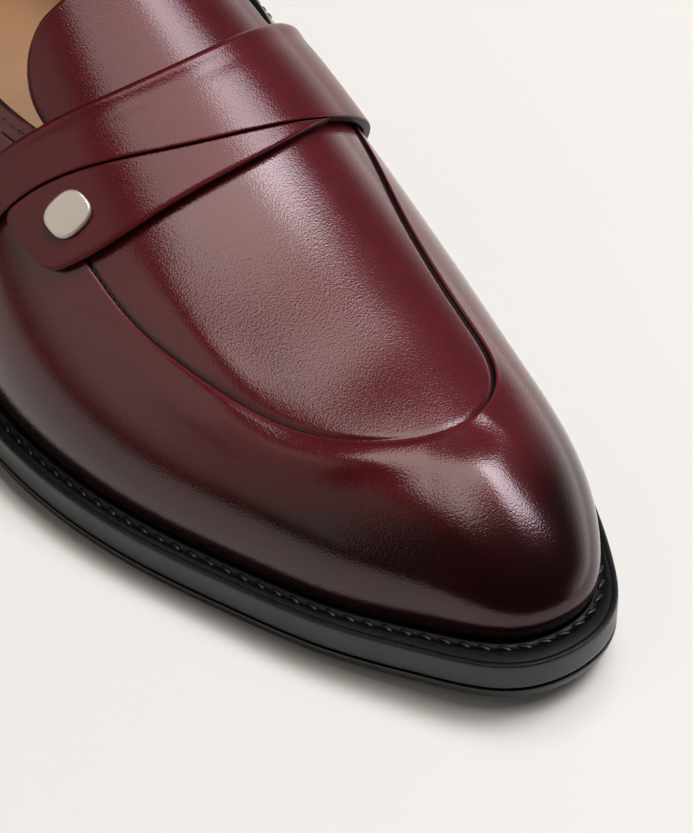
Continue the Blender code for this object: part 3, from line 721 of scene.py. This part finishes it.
def upper_stations():
    """Stations of the upper's columns, with even steps round the front of the throat."""
    line = FEATHER_SIDES[-1]
    run = run_along(line)
    along = np.interp(crowded(SIDE_COLUMNS) * run[-1], run, line[:, 1])
    turns = THROAT_SIDES + (THROAT_FRONT - THROAT_SIDES) * np.sin(quarter_turn(THROAT_COLUMNS))
    clear = (along < turns[0] - THROAT_CLEAR) | (along > turns[-1] + THROAT_CLEAR)
    return np.sort(np.concatenate([along[clear], turns]))


def soft_relief(points):
    """Height of the soft ridges that walking-in and lasting leave in the vamp."""
    height = np.zeros(len(points))
    for x, along, across, lengthwise, turn, rise in SOFT_RIDGES:
        c, s = math.cos(math.radians(turn)), math.sin(math.radians(turn))
        dx, da = points[:, 0] - x, points[:, 1] - along
        forward, sideways = (s * dx + c * da) / lengthwise, (c * dx - s * da) / across
        height += rise * np.exp(-(sideways ** 2 + forward ** 2))
    return height


def puff(outside, along, side):
    """Swell of the wall outside the seam, where the lasted leather bulges against the stitches."""
    along_of, *columns = np.transpose(PUFF[side])
    crest, reach, height = (np.interp(along, along_of, column) for column in columns)
    return height * np.exp(-((outside - crest) / reach) ** 2) * smooth_step(*PUFF_SETS_IN, outside)


def upper_column(along, side):
    """One section of the upper: points from the feather over the top edge and down the lining."""
    x = feather_x(along, side)
    v, from_ridge, top, seam = column_marks(x, along, side)
    fade = smooth_step(*STEP_GROWS, along)
    soft = smooth_step(*SEAM_SINKS[side], along)
    step = APRON_STEP * fade
    closed = top == 0.0
    wall = np.linspace(from_ridge[0], seam + SEAM_PROFILE[0][0], WALL_ROWS + 1)[:-1]
    sink = -soft * SINK_DEPTH * np.exp(-((wall - seam) / SINK_REACH) ** 2)
    outside, sharp, low, _ = np.transpose(SEAM_PROFILE)
    seam_distance, seam_lift = seam + outside, between(soft, sharp, low) * fade
    below, depth = np.transpose(ROLLED_EDGE)
    edge_distance = 0 * below if closed else top + below
    edge_lift = -step - depth * (WALL - step) / WALL
    if closed:
        edge_lift[0] = -step
    apron = np.linspace(seam_distance[-1], edge_distance[0], APRON_ROWS + 1)[1:-1]
    lining = np.linspace(edge_distance[-1], from_ridge[0], LINING_ROWS + 1)
    distance = np.concatenate([wall, seam_distance, apron, edge_distance, lining])
    lift = np.concatenate([sink, seam_lift, np.full(len(apron), -step), edge_lift,
                           np.full(len(lining), -WALL)])
    share = np.interp(-distance, -from_ridge, v)
    outer = len(distance) - len(lining)
    plain = lifted(x, along, share[:outer], 0.0)
    lift[:outer] += soft_relief(plain) + puff(distance[:outer] - seam, along, side)
    return lifted(x, along, share, lift), closed


def make_upper():
    """Walls, apron and lining of the upper, all one shell, with the seam's step cut into it."""
    stations = upper_stations()
    places = [(s, -1) for s in stations] + [(s, 1) for s in stations[-2:0:-1]]
    columns, closed = zip(*(upper_column(*place) for place in places))
    points = np.array(columns)
    count, rows = points.shape[:2]
    edge_start = WALL_ROWS + len(SEAM_PROFILE) + APRON_ROWS - 1
    edge_end = edge_start + len(ROLLED_EDGE)
    plain = [CALF_FACE] * (edge_start + 1) + [PAINT_AND_SHADE_FACE] * (len(ROLLED_EDGE) - 2)
    plain += [LINING_FACE] * (rows - len(plain))
    faces, finish = [], []
    for c, (along, side) in enumerate(places):
        row_finish = list(plain)
        if along > STEP_GROWS[0]:
            # The seam's step and groove are black here: edge paint on the cut face, painted shade in the
            # groove.
            row_finish[WALL_ROWS:WALL_ROWS + len(SEAM_PROFILE)] = [
                CALF_FACE if row[-1] == PAINT_AND_SHADE_FACE and along >= SEAM_PAINT_AND_SHADE_ENDS[side] else row[-1]
                for row in SEAM_PROFILE]
        d = (c + 1) % count
        for r in range(rows):
            if closed[c] and closed[d] and edge_start <= r < edge_end:
                continue
            s = (r + 1) % rows
            faces.append((c * rows + r, d * rows + r, d * rows + s, c * rows + s))
            finish.append(row_finish[r])
    make_piece("calf_upper", points, faces, [UPPER_CALF, EDGE_PAINT_AND_SHADE, LINING, RIM_HIGHLIGHT_CALF], "upper",
               finish, burnish_of(points))


# ---- straps and tongue ----
CUT_EDGE = (  # distance in from the edge, depth below the face, in shares of the corner's radius
    (1.0, 0.0), (0.62, 0.08), (0.29, 0.29), (0.08, 0.62), (0.0, 1.0),
)
CUT_CORNER = 0.35
FOLD_RADIUS = 0.95
CORNER_ROOM = 0.9  # of half a strap's width, for its corner
FOLD_RELIEF = (  # distance from the folded edge, reach, height: its bead and the hollow before it
    (1.3, 1.0, 0.10), (4.2, 2.0, -0.14),
)
SKIVE, SKIVE_REACH = 0.12, 0.6
FACE_STEPS = 26
BARE_POINTS = 3  # points of a cut edge's top corner that stay unpainted
BAND_SECTIONS = 241
TAB_SECTIONS = 120
CORNER_SECTIONS = 14  # round the tab's corners and the tongue's
TAB_MIDDLE = 172.0  # station at which the tab's end is measured
STRAP_BURNISH = 0.5
STRAP_FINISHES = (STRAP_CALF, EDGE_PAINT_AND_SHADE)


def strap_section(rear, front, share, folded=False, skive=0.0):
    """Closed loop round a strap's section: stations, shares of girth and lifts.

    A cut edge has small corners; a folded rear edge is rounder, with a bead and a soft hollow
    before it.  skive thins the front edge.
    """
    half = (front - rear) / 2
    corner = min(CUT_CORNER, CORNER_ROOM * half)
    back = min(FOLD_RADIUS, CORNER_ROOM * half) if folded else corner
    base, top = STRAP_GAP, STRAP_GAP + STRAP_THICKNESS

    def face_lift(a):
        lift = top - skive * math.exp(-((front - a) / SKIVE_REACH) ** 2)
        for distance, reach, height in FOLD_RELIEF if folded else ():
            lift += height * math.exp(-((a - rear - distance) / reach) ** 2)
        return lift

    face = np.linspace(rear + back, front - corner, FACE_STEPS + 1)
    loop = [(a, face_lift(a)) for a in face[:-1]]
    loop += [(front - d * corner, face_lift(front) - h * corner) for d, h in CUT_EDGE]
    loop += [(front - d * corner, base + h * corner) for d, h in reversed(CUT_EDGE)]
    loop += [(a, base) for a in face[::-1][1:-1]]
    loop += [(rear + d * back, base + h * back) for d, h in CUT_EDGE]
    loop += [(rear + d * back, face_lift(rear) - h * back) for d, h in reversed(CUT_EDGE[1:])]
    return [(a, share, lift) for a, lift in loop]


def painted(front, rear):
    """Finish of each face round a strap's section: 1 on an edge that is painted, else 0."""
    edge = 2 * len(CUT_EDGE) - BARE_POINTS
    return ([0] * (FACE_STEPS + BARE_POINTS) + [front] * (edge - 1) + [0] * FACE_STEPS
            + [rear] * (edge - 2) + [0] * (BARE_POINTS + 1))


def loft_strip(name, sections, node, finishes, loop_finish, end_finish, even_burnish=None):
    """Closed strip over the instep through sections of equal size, with capped ends.

    loop_finish is the finish of each face round a section.  The burnish is that by the welt,
    or an even one.
    """
    sections = np.array(sections)
    rings, size = sections.shape[:2]
    points = over_instep(*np.moveaxis(sections, -1, 0))
    finish = loop_finish * (rings - 1) + [end_finish] * 2
    burnish = STRAP_BURNISH * burnish_of(points)
    if even_burnish is not None:
        burnish[:] = even_burnish
    make_piece(name, points, ring_faces(rings, size, capped=True), finishes, node,
               finish, burnish, sharp=50)


def make_strap_band():
    """Rear band of the saddle strap: its rear edge is folded, its front edge cut and painted."""
    sections = [strap_section(spline(STRAP, share, 1), spline(STRAP, share, 2), share, folded=True)
                for share in np.linspace(-BAND_FOOT, BAND_FOOT, BAND_SECTIONS)]
    loft_strip("calf_strap_band", sections, "strap_band", STRAP_FINISHES, painted(1, 0), 1)


def make_strap_tab():
    """Front tab of the strap, pointed on the medial side, with a rounded end under the badge."""
    length = girth_length(TAB_MIDDLE, -1)
    corner = TAB_CORNER / length
    near_end = TAB_END + corner * (1 - np.cos(quarter_turn(CORNER_SECTIONS)))
    sections = []
    for share in np.concatenate([near_end, np.linspace(TAB_END + corner, TAB_TIP, TAB_SECTIONS)[1:]]):
        rear, front = spline(STRAP, share, 2) + SLIT, spline(STRAP, share, 3)
        left = max(TAB_END + corner - share, 0.0) * length
        cut = TAB_CORNER - math.sqrt(max(TAB_CORNER ** 2 - left ** 2, 0.0))
        sections.append(strap_section(rear + cut, front - cut, share, skive=SKIVE))
    loft_strip("calf_strap_tab", sections, "strap_tab", STRAP_FINISHES, painted(1, 1), 1)


TONGUE_STEPS = 49  # points across
TONGUE_END_POINTS = 24  # sections round its front
TONGUE_TURN = 88  # degrees that its front turns in under the strap, short of a point
TONGUE_THINS = (0.965, 0.75)  # share of the half width where its edge starts, and how far it thins
TONGUE_NOSE = (0.4, 0.3)  # thickness of its end, and the gain with each section
TONGUE_BURNISH = 0.15


def make_tongue():
    """Free end of the apron, lined underneath, rising behind the strap."""
    outline = []  # station, inset from the side, share of the full width
    for turn in quarter_turn(CORNER_SECTIONS):
        cut = TONGUE_CORNER * (1 - math.sin(turn))
        outline.append((TONGUE_BACK + TONGUE_CORNER * (1 - math.cos(turn)), cut, 1.0))
    for turn in np.radians(np.linspace(0, TONGUE_TURN, TONGUE_END_POINTS)):
        ahead = (THROAT_FRONT - TONGUE_GAP - THROAT_SIDES) * math.sin(turn)
        outline.append((THROAT_SIDES + ahead, 0.0, math.cos(turn)))
    across = np.linspace(-1, 1, TONGUE_STEPS)
    edge_from, thins = TONGUE_THINS
    full = 1 - thins * np.maximum(np.abs(across) - edge_from, 0) / (1 - edge_from)
    loop = list(zip(across, full)) + list(zip(across[::-1], -full[::-1]))
    sections = []
    for n, (along, cut, share) in enumerate(outline):
        half = {side: ((THROAT_HALF[side] - TONGUE_GAP) * share - cut) / girth_length(along, side)
                for side in SIDES}
        thick = min(1.0, TONGUE_NOSE[0] + TONGUE_NOSE[1] * n) * TONGUE_THICKNESS / 2
        middle = -APRON_STEP - TONGUE_THICKNESS / 2
        sections.append([(along, part * half[-1 if part < 0 else 1], middle + thick * up)
                         for part, up in loop])
    lined = [0] * TONGUE_STEPS + [1] * (TONGUE_STEPS - 1) + [0]
    loft_strip("calf_tongue", sections, "tongue", [TONGUE_CALF, LINING], lined, 0, TONGUE_BURNISH)


# ---- sole ----
OUTSOLE_EDGE_PROFILE = (  # inset, height above the sole's bottom
    (1.40, 0.00), (0.80, 0.10), (0.52, 0.40), (0.34, 0.90), (0.16, 1.60), (0.02, 2.20),
    (0.00, 2.45), (0.12, 2.68), (0.50, 2.78), (1.40, 2.80),
)
MIDSOLE_EDGE_PROFILE = (
    (1.60, 3.08), (0.80, 3.10), (0.40, 3.20), (0.12, 3.46), (0.02, 3.85), (0.00, 4.60),
    (0.00, 7.02), (1.60, 7.02),
)
INSOLE_PROFILE = ((0.30, 7.30), (0.0, 7.60), (0.0, 10.80), (0.30, 11.20), (1.00, 11.30))
INSOLE_GAP = 0.3
WELT_RIM = (  # inset, height above the sole's bottom
    (0.40, 7.00), (0.00, 7.01), (0.00, 8.90), (0.02, 9.30), (0.08, 9.62), (0.22, 9.88),
    (0.45, 10.00), (0.85, 10.04), (1.15, 10.02), (1.30, 9.96), (1.42, 9.96), (1.56, 10.03),
)
DRESSED_RINGS = 5  # rings of the welt's rim that the edge dressing reaches
STITCH_FROM_FEATHER = 1.8
STITCH_CHANNEL = (  # distance outward from the stitch line, height above the sole's top
    (1.30, 0.06), (0.85, 0.02), (0.50, -0.22), (0.0, -0.30), (-0.50, -0.22), (-0.85, 0.02), (-1.20, 0.02),
)
UNDER_UPPER = (  # distance inside the feather line, height above the sole's top
    (0.0, -0.25), (WALL, -0.45), (WALL, -WELT_THICKNESS + 0.3),
)
HEEL_HOLLOW = 1.5  # of the heel's front face
HEEL_SAMPLES, BREAST_SAMPLES = 140, 42
LIFTS = 4
LIFT_LINE = (0.12, 0.16)  # depth and half height of the line between two lifts
STACK = (TOP_LIFT + SEAT - 0.25, HEEL_RISE - 0.02)  # heights between which the lifts lie
STACK_ROUNDING = ((0.12, 0.10), (0.25, 0.12))  # height and depth at its foot and at its head
TOP_LIFT_PROFILE = (  # height, inset
    (0.0, 0.55), (0.12, 0.2), (0.45, 0.0),
    (TOP_LIFT - 0.45, -0.05), (TOP_LIFT - 0.12, 0.08), (TOP_LIFT, 0.4),
)


def on_sole(plan, height):
    """Plan points at a height above the sole's bottom."""
    return np.column_stack([plan, sole_bottom(plan[:, 1]) + height])


def make_plate(name, curve, profile, finish, node):
    """Sole layer: its edge swept round the outline, closed above and below."""
    picks = np.rint(crowded(SOLE_SAMPLES, laps=2)[:-1] * OUTLINE_SAMPLES).astype(int) % OUTLINE_SAMPLES
    rings = [on_sole(inset(curve, distance)[picks], height) for distance, height in profile]
    size = len(picks)
    faces = ring_faces(len(rings), size)
    faces += sole_cap(rings[0], 0, False)
    faces += sole_cap(rings[-1], (len(rings) - 1) * size, True)
    make_piece(name, np.concatenate(rings), faces, [finish], node, sharp=40)


def make_welt():
    """Welt: a strip round the upper with a rounded rim, a tool line and a channel for its stitches."""
    rows = list(WELT_RIM)
    rows += [(WELT_WIDTH - STITCH_FROM_FEATHER - out, SOLE + h) for out, h in STITCH_CHANNEL]
    rows += [(WELT_WIDTH + past, SOLE + h) for past, h in UNDER_UPPER]
    rings = [on_sole(inset(EDGE, distance)[::2], height) for distance, height in rows]
    count, size = len(rings), len(rings[0])
    last = (count - 1) * size
    faces = ring_faces(count, size)
    faces += [(last + i, i, (i + 1) % size, last + (i + 1) % size) for i in range(size)]
    finish = [1] * (DRESSED_RINGS * size) + [0] * ((count - DRESSED_RINGS) * size)
    make_piece("stitched_welt", np.concatenate(rings), faces, [WELT_LEATHER, SOLE_EDGE], "welt",
               finish, sharp=50)


def heel_chain(distance):
    """Plan outline of the heel: round the back, then straight across its breast."""
    curve = inset(EDGE, distance)
    back = curve[:, 1] <= HEEL_BREAST
    count = int(back.sum())
    curve = np.roll(curve, -int(np.flatnonzero(back & ~np.roll(back, 1))[0]), 0)
    ends = [(np.interp(HEEL_BREAST, [a[1], b[1]], [a[0], b[0]]), HEEL_BREAST)
            for a, b in ((curve[0], curve[-1]), (curve[count - 1], curve[count]))]
    around = evenly(np.vstack([ends[0], curve[:count], ends[1]]), HEEL_SAMPLES)
    share = np.linspace(0, 1, BREAST_SAMPLES)[1:-1]
    across = np.column_stack([between(share, around[-1, 0], around[0, 0]),
                              HEEL_BREAST - HEEL_HOLLOW * 4 * share * (1 - share)])
    return np.vstack([around, across])


def make_heel():
    """Stacked leather heel with fine lines between its lifts, on a rubber top lift."""
    low, high = STACK
    (foot, foot_depth), (head, head_depth) = STACK_ROUNDING
    stack = [(low, foot_depth), (low + foot, 0.0)]
    for line in np.linspace(low, high, LIFTS + 1)[1:-1]:
        stack += [(line - LIFT_LINE[1], 0.0), (line, LIFT_LINE[0]), (line + LIFT_LINE[1], 0.0)]
    stack += [(high - head, 0.0), (high, head_depth)]
    for name, profile, finish, slot, node in (
            ("leather_heel_stack", stack, SOLE_EDGE, "sole_edge", "heel_stack"),
            ("rubber_top_lift", TOP_LIFT_PROFILE, LIFT_RUBBER, "top_lift", "top_lift")):
        rings = []
        for z, extra in profile:
            ring = heel_chain(HEEL_TAPER * (1 - z / HEEL_RISE) + extra)
            rings.append(np.column_stack([ring, np.full(len(ring), z)]))
        make_piece(name, np.concatenate(rings), ring_faces(len(rings), len(rings[0]), capped=True),
                   [finish], node, sharp=40)


# ---- stitches ----
STITCHES = {  # pitch, length, width, height, slant, seed of its random draws
    "welt_stitches": (4.0, 3.1, 1.0, 0.62, 0.38, 3),
    "collar_stitches": (2.3, 1.8, 0.42, 0.30, 0.0, 5),
    "apron_seam_stitches": (1.7, 0.75, 0.42, 0.42, 0.0, 7),
}
STITCH_RINGS, STITCH_AROUND = 6, 8
STITCH_THINS = 0.92  # how much of its section is gone at its ends
STITCH_DIVES = 0.30  # of its height, at its ends
STITCH_TURNS = 0.06  # random turn, radians
STITCH_VARIES = 0.05  # random share of its length
WELT_STITCHES_FROM = HEEL_BREAST - 10
WELT_STITCHES_SINK = 0.10
COLLAR_STITCHES = (2.4, 0.02)  # distance below the top edge, lift
COLLAR_STITCHES_END = THROAT_SIDES - 4.0
COLLAR_STATIONS, SEAM_STATIONS = 160, 260  # points along each side's path
SEAM_STITCHES = (0.22, -0.96)  # distance inside the seam, lift
SEAM_STITCHES_SPAN = (THROAT_SIDES + 2.0, 290.5)


def stitch_points(centre, forward, up, length, width, height):
    """One stitch: a short bead of thread, thin at its ends, where it dives into the leather."""
    t = np.linspace(-1, 1, STITCH_RINGS)[:, None, None]
    around = np.linspace(0, 2 * math.pi, STITCH_AROUND, endpoint=False)[:, None]
    swell = np.sqrt(1 - STITCH_THINS * t * t)
    side = np.cross(up, forward) * np.cos(around) * swell * width / 2
    rise = up * (np.sin(around) * swell * height / 2 - height * STITCH_DIVES * t * t)
    return (centre + forward * t * length / 2 + side + rise).reshape(-1, 3)


def sew(name, path, ups, finish):
    """A row of stitches along a path of points, each turned by the slant about the surface."""
    pitch, length, width, height, slant, seed = STITCHES[name]
    path, ups = np.asarray(path, float), np.asarray(ups, float)
    run = run_along(path)
    count = int(run[-1] / pitch)
    chance = random.Random(seed)

    def at(place, columns):
        return np.array([np.interp(place, run, column) for column in columns.T])

    points, faces = [], []
    for n in range(count):
        place = (n + 0.5) * run[-1] / count
        up = unit(at(place, ups))
        ahead = at(place + 0.5, path) - at(place - 0.5, path)
        ahead = unit(ahead - up * ahead.dot(up))
        turn = slant + chance.uniform(-STITCH_TURNS, STITCH_TURNS)
        forward = ahead * math.cos(turn) + np.cross(up, ahead) * math.sin(turn)
        longer = chance.uniform(1 - STITCH_VARIES, 1 + STITCH_VARIES)
        points.append(stitch_points(at(place, path), forward, up, length * longer, width, height))
        faces += ring_faces(STITCH_RINGS, STITCH_AROUND, n * STITCH_RINGS * STITCH_AROUND, capped=True)
    make_piece(name, np.concatenate(points), faces, [finish])


def make_welt_stitches():
    """Lockstitches 4 mm long in the welt's channel, from one heel corner round the toe to the other."""
    line = inset(EDGE, WELT_WIDTH - STITCH_FROM_FEATHER)
    start = int(np.flatnonzero((line[:, 1] > WELT_STITCHES_FROM) & (line[:, 0] < 0))[0])
    line = np.roll(line, -start, 0)
    path = on_sole(line[line[:, 1] > WELT_STITCHES_FROM], SOLE - WELT_STITCHES_SINK)
    sew("welt_stitches", path, np.tile([0.0, 0.0, 1.0], (len(path), 1)), WELT_THREAD)


def sew_upper(name, places, distance_of, lift, finish):
    """Stitches at a distance from the ridge, through places given as a station and a side."""
    path, ups = [], []
    for along, side in places:
        x = feather_x(along, side)
        v, from_ridge, top, seam = column_marks(x, along, side)
        at = np.interp(-distance_of(top, seam), -from_ridge, v)
        low, high = lifted(x, along, at, lift), lifted(x, along, at, lift + 1.0)
        path.append(low)
        ups.append(high - low)
    sew(name, path, ups, finish)


def make_collar_stitches():
    """Fine row of stitches below the top edge of the quarters, round the heel."""
    below, lift = COLLAR_STITCHES
    heel = FEATHER[:, 1].min()
    stations = heel + (COLLAR_STITCHES_END - heel) * np.linspace(0.0, 1.0, COLLAR_STATIONS) ** 2
    places = [(s, -1) for s in stations[::-1]] + [(s, 1) for s in stations[1:]]
    sew_upper("collar_stitches", places, lambda top, seam: top + below, lift, CALF_THREAD)


def make_seam_stitches():
    """Tiny ends of the hidden stitches in the groove of the apron's seam, round the toe."""
    inside, lift = SEAM_STITCHES
    stations = np.linspace(*SEAM_STITCHES_SPAN, SEAM_STATIONS)
    places = [(s, -1) for s in stations] + [(s, 1) for s in stations[::-1]]
    sew_upper("apron_seam_stitches", places, lambda top, seam: seam - inside, lift, EDGE_PAINT_AND_SHADE)


# ---- badge ----
BADGE_FULLNESS = 2.7
BADGE_SAMPLES = 96
BADGE_LIFT = 0.05  # above the strap
BADGE_AIM = 3.0  # distance to the point ahead that it is turned to
BADGE_PROFILE = (  # share of the outline, height
    (0.97, 0.00), (1.00, 0.12), (1.00, 0.82), (0.988, 0.96), (0.96, 1.07), (0.92, 1.12),
    (0.86, 1.14), (0.60, 1.16), (0.30, 1.17), (0.02, 1.17),
)


def make_badge():
    """Blank cushion-shaped plate with a rounded rim, fixed to the tab."""
    angle = np.linspace(0, 2 * math.pi, BADGE_SAMPLES, endpoint=False)
    x, y = (np.sign(wave) * np.abs(wave) ** (2 / BADGE_FULLNESS) * size / 2
            for wave, size in zip((np.cos(angle), np.sin(angle)), BADGE_SIZE))
    along, share = BADGE_AT
    base = STRAP_GAP + STRAP_THICKNESS + BADGE_LIFT
    seat = over_instep(along, share, base)
    up = unit(over_instep(along, share, base + 1.0) - seat)
    ahead = over_instep(along + BADGE_AIM, share, base) - seat
    forward = unit(ahead - up * ahead.dot(up))
    sideways = np.cross(forward, up)
    points = [seat + scale * (np.outer(x, forward) + np.outer(y, sideways)) + up * height
              for scale, height in BADGE_PROFILE]
    faces = ring_faces(len(points), BADGE_SAMPLES, capped=True)
    make_piece("blank_badge", np.concatenate(points), faces, [STEEL], "badge", sharp=40)


make_upper()
make_strap_band()
make_strap_tab()
make_tongue()
make_plate("leather_midsole", EDGE, MIDSOLE_EDGE_PROFILE, SOLE_EDGE, "midsole")
make_plate("thin_outsole", EDGE, OUTSOLE_EDGE_PROFILE, OUTSOLE_EDGE, "outsole")
make_plate("sock_and_insole", inset(FEATHER, WALL + INSOLE_GAP), INSOLE_PROFILE, SOCK, "insole")
make_welt()
make_heel()
make_welt_stitches()
make_collar_stitches()
make_seam_stitches()
make_badge()


# ---- studio ----
SUBJECT = Vector((1.445 - CENTRE_X, LENGTH / 2 - 220.13, 9.9)) * MM
CAMERA_AZIMUTH = -35.5
CAMERA_ELEVATION = 47.0
CAMERA_DISTANCE = 0.90
LENS = 190.1
FLOOR_REACH = 6.0
LIGHTS = (  # name, azimuth, elevation, distance, width, height, watts, colour, upright, not seen by
    ("key_softbox", 80, 62, 4.5, 1.40, 1.6, 80, "#F4F3FF", False, ""),
    ("overhead_strip", 92, 83.5, 4.5, 3.7, 1.6, 88, "#FFF5F0", False, "diffuse"),
    ("lateral_panel", -103, 47, 4.4, 3.0, 5.4, 25, "#FFF7EE", True, ""),
    ("lateral_panel_rear", -122, 47, 4.4, 2.8, 4.6, 18, "#FFF4EC", True, "diffuse"),
    ("fill_scrim", 90, 72, 3.5, 1.6, 4.0, 97, "#FFFDF8", False, "glossy"),
)
HIGH_LIGHT = 60.0  # a light above this elevation lies across the shoe
ROOM_DARK = (0.02, 0.02, 0.02, 1.0)
ROOM_BAND = (2.6, 2.6, 2.6, 1.0)  # pale wall beyond the medial side, brightest at the horizon
ROOM_HEIGHTS = (-0.10, 0.50)  # upward part of the direction over which the wall fades
ROOM_SIDES = (0.35, 0.85)  # medial part of the direction over which it brightens


def direction(azimuth, elevation):
    """Unit vector from the subject, azimuth 0 toward the toe and 90 toward the medial side."""
    a, e = math.radians(azimuth), math.radians(elevation)
    return Vector((math.sin(a) * math.cos(e), -math.cos(a) * math.cos(e), math.sin(e)))


def place_in_scene(name, data):
    made = bpy.data.objects.new(name, data)
    bpy.context.scene.collection.objects.link(made)
    return made


def make_light(name, azimuth, elevation, distance, width, height, watts, colour, upright, unseen_by):
    """Rectangular soft light turned to the subject, or upright."""
    light = bpy.data.lights.new(name, "AREA")
    light.shape = "RECTANGLE"
    light.size, light.size_y = width, height
    light.energy = watts
    light.color = srgb(colour)[:3]
    made = place_in_scene(name, light)
    made.location = SUBJECT + direction(azimuth, elevation) * distance
    towards = direction(azimuth, 0 if upright else elevation)
    up = Vector((0.0, 1.0, 0.0)) if elevation > HIGH_LIGHT else Vector((0.0, 0.0, 1.0))
    across = up.cross(towards).normalized()
    made.rotation_euler = Matrix((across, towards.cross(across), towards)).transposed().to_euler()
    made.visible_diffuse = unseen_by != "diffuse"
    made.visible_glossy = unseen_by != "glossy"


def make_room():
    """Dark studio with a pale wall beyond the medial side, which the leather mirrors."""
    world = bpy.data.worlds.new("studio_room")
    world.use_nodes = True
    tree = world.node_tree
    way = add(tree, "SeparateXYZ", {0: add(tree, "TexCoord").outputs["Generated"]}).outputs
    low = add(tree, "MapRange", ramp(way["Z"], ROOM_HEIGHTS, 1.0, 0.0), interpolation_type="SMOOTHSTEP")
    medial = add(tree, "MapRange", ramp(way["X"], ROOM_SIDES, 0.0, 1.0), interpolation_type="SMOOTHSTEP")
    band = add(tree, "Math", {0: low, 1: medial}, operation="MULTIPLY")
    room = add(tree, "Mix", {FACTOR: band, COLOUR_A: ROOM_DARK, COLOUR_B: ROOM_BAND}, data_type="RGBA")
    set_sockets(tree, tree.nodes["Background"], {"Color": room.outputs[MIXED]})
    bpy.context.scene.world = world


def make_studio():
    r = FLOOR_REACH
    floor = bpy.data.meshes.new("paper_floor")
    floor.from_pydata([(-r, -r, 0), (r, -r, 0), (r, r, 0), (-r, r, 0)], [], [(0, 1, 2, 3)])
    floor.materials.append(PAPER)
    place_in_scene("paper_floor", floor)
    for light in LIGHTS:
        make_light(*light)
    make_room()

    lens = bpy.data.cameras.new("camera")
    lens.lens = LENS
    lens.sensor_width = 36.0
    camera = place_in_scene("camera", lens)
    back = direction(CAMERA_AZIMUTH, CAMERA_ELEVATION)
    camera.location = SUBJECT + back * CAMERA_DISTANCE
    camera.rotation_euler = back.to_track_quat("Z", "Y").to_euler()
    bpy.context.scene.camera = camera
    bpy.context.scene.view_settings.view_transform = "Standard"


make_studio()
